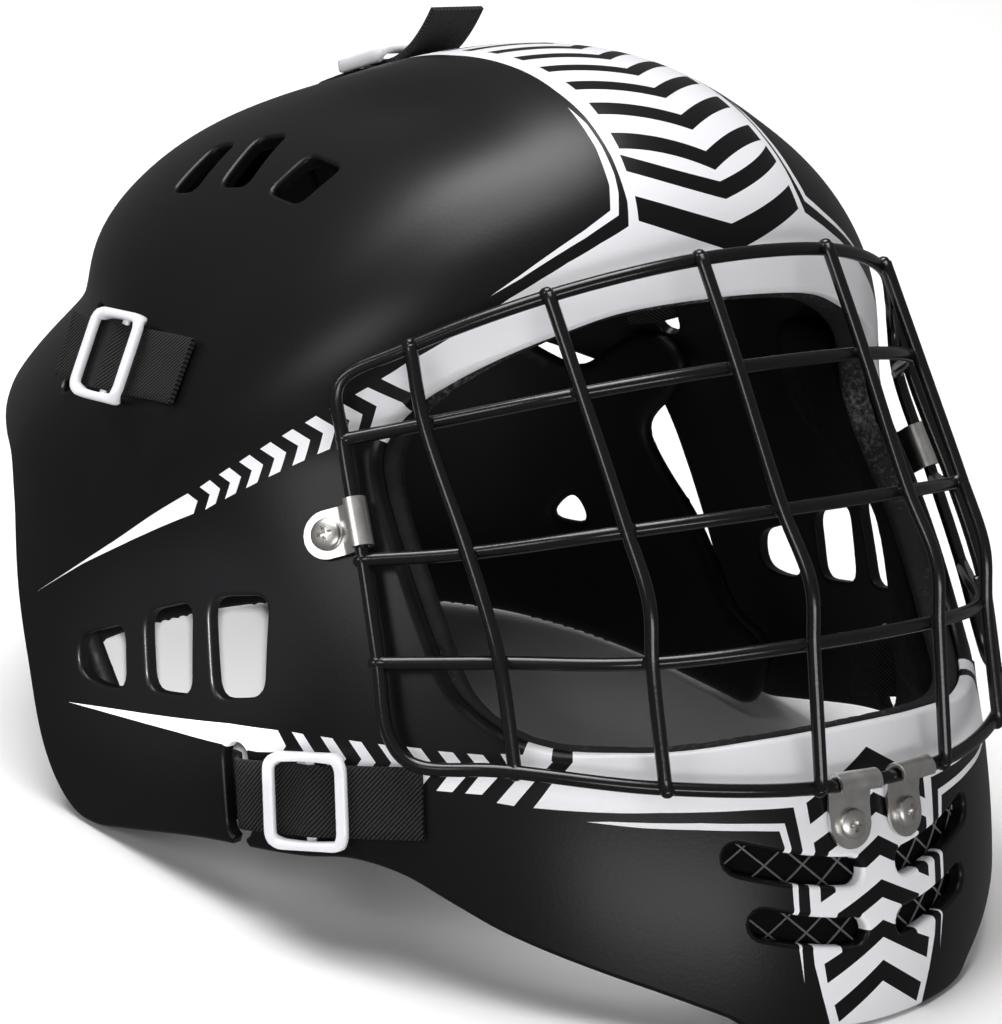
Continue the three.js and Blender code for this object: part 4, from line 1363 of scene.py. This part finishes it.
def rear_place(chart):
    """Outer face of the rear pad from distance round the back and height."""
    s, z = np.atleast_2d(chart).T
    scale = np.interp(z, LEAN_LINE[:, 0], LEAN_LINE[:, 1])
    x = np.interp(s, REAR_TRAVEL, REAR_LINE[:, 0]) * scale
    y = REAR_LEAN_FROM + (np.interp(s, REAR_TRAVEL, REAR_LINE[:, 1]) - REAR_LEAN_FROM) * scale
    return np.column_stack((x, y, z))


def rear_pad_piece():
    outline = eased(both_halves(REAR_HALF), 7.0, 2.0)
    holes = [eased(np.array(REAR_HOLE) * (side, 1.0), 6.0, 1.2) for side in (1.0, -1.0)]
    spots = scattered(outline, 4.0)
    points, faces = padding(rear_place, outline, spots, 0.0, REAR_THICKNESS, REAR_ROLL, holes)
    pad = make_object("rear_cradle", points, faces, [pad_smooth])
    dress(pad, "foam", "rear_pad")


def cheek_pads():
    for side, name in SIDES.items():
        outline = chart_of(side_point(side, *eased(CHEEK, 8.0, 2.0).T))
        spots = scattered(outline, 0.03)
        points, faces = padding(plain_place, outline, spots, PAD_DEPTH, CHEEK_THICKNESS, PAD_ROLL)
        pad = make_object(f"cheek_foam_{name}", points, faces, [pad_foam])
        dress(pad, "foam", f"cheek_pad_{name}")


def crown_pad_piece():
    outline = chart_of(top_point(*eased(CROWN_CORNERS, 12.0, 2.0).T))

    def channels(points):
        lines = sum(bell(points[:, 1], y, CHANNEL_WIDTH) for y in CHANNELS_ACROSS)
        return -CHANNEL_DEPTH * np.minimum(1.0, lines + bell(points[:, 0], 0.0, CHANNEL_WIDTH))

    spots = scattered(outline, 0.026)
    points, faces = padding(plain_place, outline, spots, PAD_DEPTH, CROWN_THICKNESS, PAD_ROLL, waves=channels)
    pad = make_object("crown_foam", points, faces, [pad_foam])
    dress(pad, "foam", "crown_pad")


def edging_piece():
    """Foam strip round the inside of the face opening, its skin a little uneven."""
    line = front_point(*eye_line().T)
    normal = plain_normal(line)
    into = unit(np.cross(tangents_of(line, closed=True), normal))
    into *= np.sign(((line.mean(0) - line) * into).sum())
    section = rounded(EDGING_SECTION, 2.6, 4)
    rings = [p + section[:, :1] * i - section[:, 1:] * n for p, i, n in zip(line, into, normal)]
    points, faces = loft(rings, closed=True)
    wobble = np.random.default_rng(EDGING_SEED).normal(0.0, EDGING_ROUGHNESS, len(points))
    middle = np.repeat(np.array([r.mean(0) for r in rings]), len(section), axis=0)
    points = points + unit(points - middle) * np.clip(wobble, -0.25, 0.1)[:, None]
    strip = make_object("opening_foam", points, faces, [edging_foam])
    dress(strip, "foam", "opening_edging")


NET_HALF, NET_LOW, NET_HIGH = 47.0, 18.5, 49.5
NET_PITCH, NET_LEAN, NET_MIDDLE = 10.8, 1.25, 34.0
STRAND_RADIUS = 0.3


def chin_mesh_piece():
    """Diamond net of thin strands on a near-black sheet behind the chin slots; the sheet is painted shade,
    standing in for the dark inside of the chin.
    """
    strands = []
    for lean in (-1.0, 1.0):
        for k in range(-9, 10):
            z = np.linspace(NET_LOW, NET_HIGH, 15)
            x = k * NET_PITCH + lean * (z - NET_MIDDLE) * NET_LEAN
            keep = np.abs(x) <= NET_HALF
            if keep.sum() < 3:
                continue
            p = front_point(x[keep], z[keep])
            line = p - plain_normal(p) * (SHELL_WALL + 0.55 + 0.12 * lean)
            strands.append(tube(line, STRAND_RADIUS, sides=8))
    # The sheet behind the strands is painted shade: a dark sheet where the inside of the chin is only in
    # shadow.
    corners = ((-NET_HALF, NET_LOW), (NET_HALF, NET_LOW), (NET_HALF, NET_HIGH), (-NET_HALF, NET_HIGH))
    outline = chart_of(front_point(*eased(corners, 4.0, 1.6).T))
    shade_sheet = padding(plain_place, outline, scattered(outline, 0.03), SHELL_WALL + 1.0, 0.8, 0.5)
    points, faces = joined(strands + [shade_sheet])
    strand_faces = sum(len(part[1]) for part in strands)
    face_materials = [0] * strand_faces + [1] * (len(faces) - strand_faces)
    net_piece = make_object("chin_net", points, faces, [mesh_strand, chin_shade_backing], face_materials)
    dress(net_piece, "mesh", "chin_mesh")


# Build

shell = shell_piece(graphics(), [shell_black, shell_white, shell_inside])
dress(shell, "shell", "shell")
border_wire, cage = cage_piece()
dress(cage, "cage_wire", "cage")
for clip, place in SCREWS.items():
    clip_piece(clip, place, border_wire)
strap_pieces()
rear_pad_piece()
cheek_pads()
crown_pad_piece()
edging_piece()
chin_mesh_piece()


# Stage, light and camera

CAMERA_PLACE = (-641.4, -735.1, 415.1)
CAMERA_RIGHT = (0.77589632, -0.61724882, 0.13034104)
CAMERA_UP = (0.10853249, 0.33413207, 0.93625662)
CAMERA_BACK = (-0.62145442, -0.71229183, 0.32624340)
LENS, SENSOR = 126.5625, 36.0

# Stage and lights in metres and watts.
SWEEP_HALF, SWEEP_NEAR, FLOOR_END, FLOOR_BEND, WALL_TOP = 4.0, -3.0, 2.2, 1.2, 4.0
FLOOR_DROP = -0.0002
WORLD_STRENGTH = 0.15
# Each light: name, place, target, size and power.
AREA_LIGHTS = (
    ("top", (-0.35, 0.15, 1.65), (0.0, 0.0, 0.1), (1.1, 1.0), 20.0),
    ("side", (-1.7, -0.2, 0.9), (0.0, 0.0, 0.1), (0.7, 0.6), 6.0),
    ("low_front", (-0.7, -1.7, 0.22), (0.0, 0.0, 0.1), (1.3, 0.34), 9.0),
    ("wall", (-0.2, 0.9, 2.6), (1.4, 2.6, 0.8), (2.0, 2.0), 70.0),
)
# The beam through the side windows: name, place, target, full angle in degrees and power.
WINDOW_BEAM = ("windows", (-0.64, -0.73, 0.43), (-0.118, -0.017, 0.058), 4.2, 90.0)


def stage_sweep():
    """Floor that curves up into a wall behind the helmet, square to the camera; reflections leave it out."""
    back = unit(np.array(CAMERA_BACK[:2]))
    right = np.array((-back[1], back[0]))
    run = [(SWEEP_NEAR, FLOOR_DROP)]
    for t in np.radians(np.linspace(0.0, 90.0, 16)):
        run.append((FLOOR_END + FLOOR_BEND * math.sin(t), FLOOR_DROP + FLOOR_BEND * (1.0 - math.cos(t))))
    run.append((FLOOR_END + FLOOR_BEND, WALL_TOP))
    points = [(*(right * side * SWEEP_HALF - back * away), z) for away, z in run for side in (-1.0, 1.0)]
    faces = [(2 * i + 1, 2 * i, 2 * i + 2, 2 * i + 3) for i in range(len(run) - 1)]
    mesh = bpy.data.meshes.new("sweep")
    mesh.from_pydata(points, [], faces)
    mesh.shade_smooth()
    made, tree, shader = material("pale_sweep", (0.93, 0.93, 0.93), 0.8)
    wear = texture(tree, "Noise", 3.0, Detail=2.0)
    spread(tree, wear.outputs["Fac"], 0.78, 0.84, shader.inputs["Roughness"])
    mesh.materials.append(made)
    sweep = bpy.data.objects.new("sweep", mesh)
    bpy.context.scene.collection.objects.link(sweep)
    sweep.visible_glossy = False


def area_light(name, place, target, size, power):
    light = bpy.data.lights.new(name, "AREA")
    light.shape = "RECTANGLE"
    light.size, light.size_y = size
    aim_light(name, light, place, target, power)


def beam_light(name, place, target, angle, power):
    """Narrow beam with a soft border, its full angle in degrees."""
    light = bpy.data.lights.new(name, "SPOT")
    light.spot_size = math.radians(angle)
    light.spot_blend = 0.5
    light.shadow_soft_size = 0.01
    aim_light(name, light, place, target, power)


def aim_light(name, light, place, target, power):
    light.energy = power
    back = unit(np.subtract(place, target))
    right = unit(np.cross((0.0, 0.0, 1.0), back))
    set_up(name, light, (right, np.cross(back, right), back), place)


def set_up(name, data, axes, place):
    """Links a light or camera, from the directions to its right, up and back, and its place in metres."""
    thing = bpy.data.objects.new(name, data)
    bpy.context.scene.collection.objects.link(thing)
    rows = [(*(axis[k] for axis in axes), place[k]) for k in range(3)]
    thing.matrix_world = Matrix((*rows, (0.0, 0.0, 0.0, 1.0)))
    return thing


def studio():
    world = bpy.data.worlds.new("studio")
    world.use_nodes = True
    background = world.node_tree.nodes["Background"]
    background.inputs["Color"].default_value = (1.0, 1.0, 1.0, 1.0)
    background.inputs["Strength"].default_value = WORLD_STRENGTH
    bpy.context.scene.world = world
    for light in AREA_LIGHTS:
        area_light(*light)
    beam_light(*WINDOW_BEAM)
    bpy.context.scene.view_settings.view_transform = "Standard"


def camera():
    data = bpy.data.cameras.new("camera")
    data.lens, data.sensor_width = LENS, SENSOR
    data.clip_start, data.clip_end = 0.05, 20.0
    place = [c * MM for c in CAMERA_PLACE]
    bpy.context.scene.camera = set_up("camera", data, (CAMERA_RIGHT, CAMERA_UP, CAMERA_BACK), place)


stage_sweep()
studio()
camera()
bpy.context.view_layer.update()
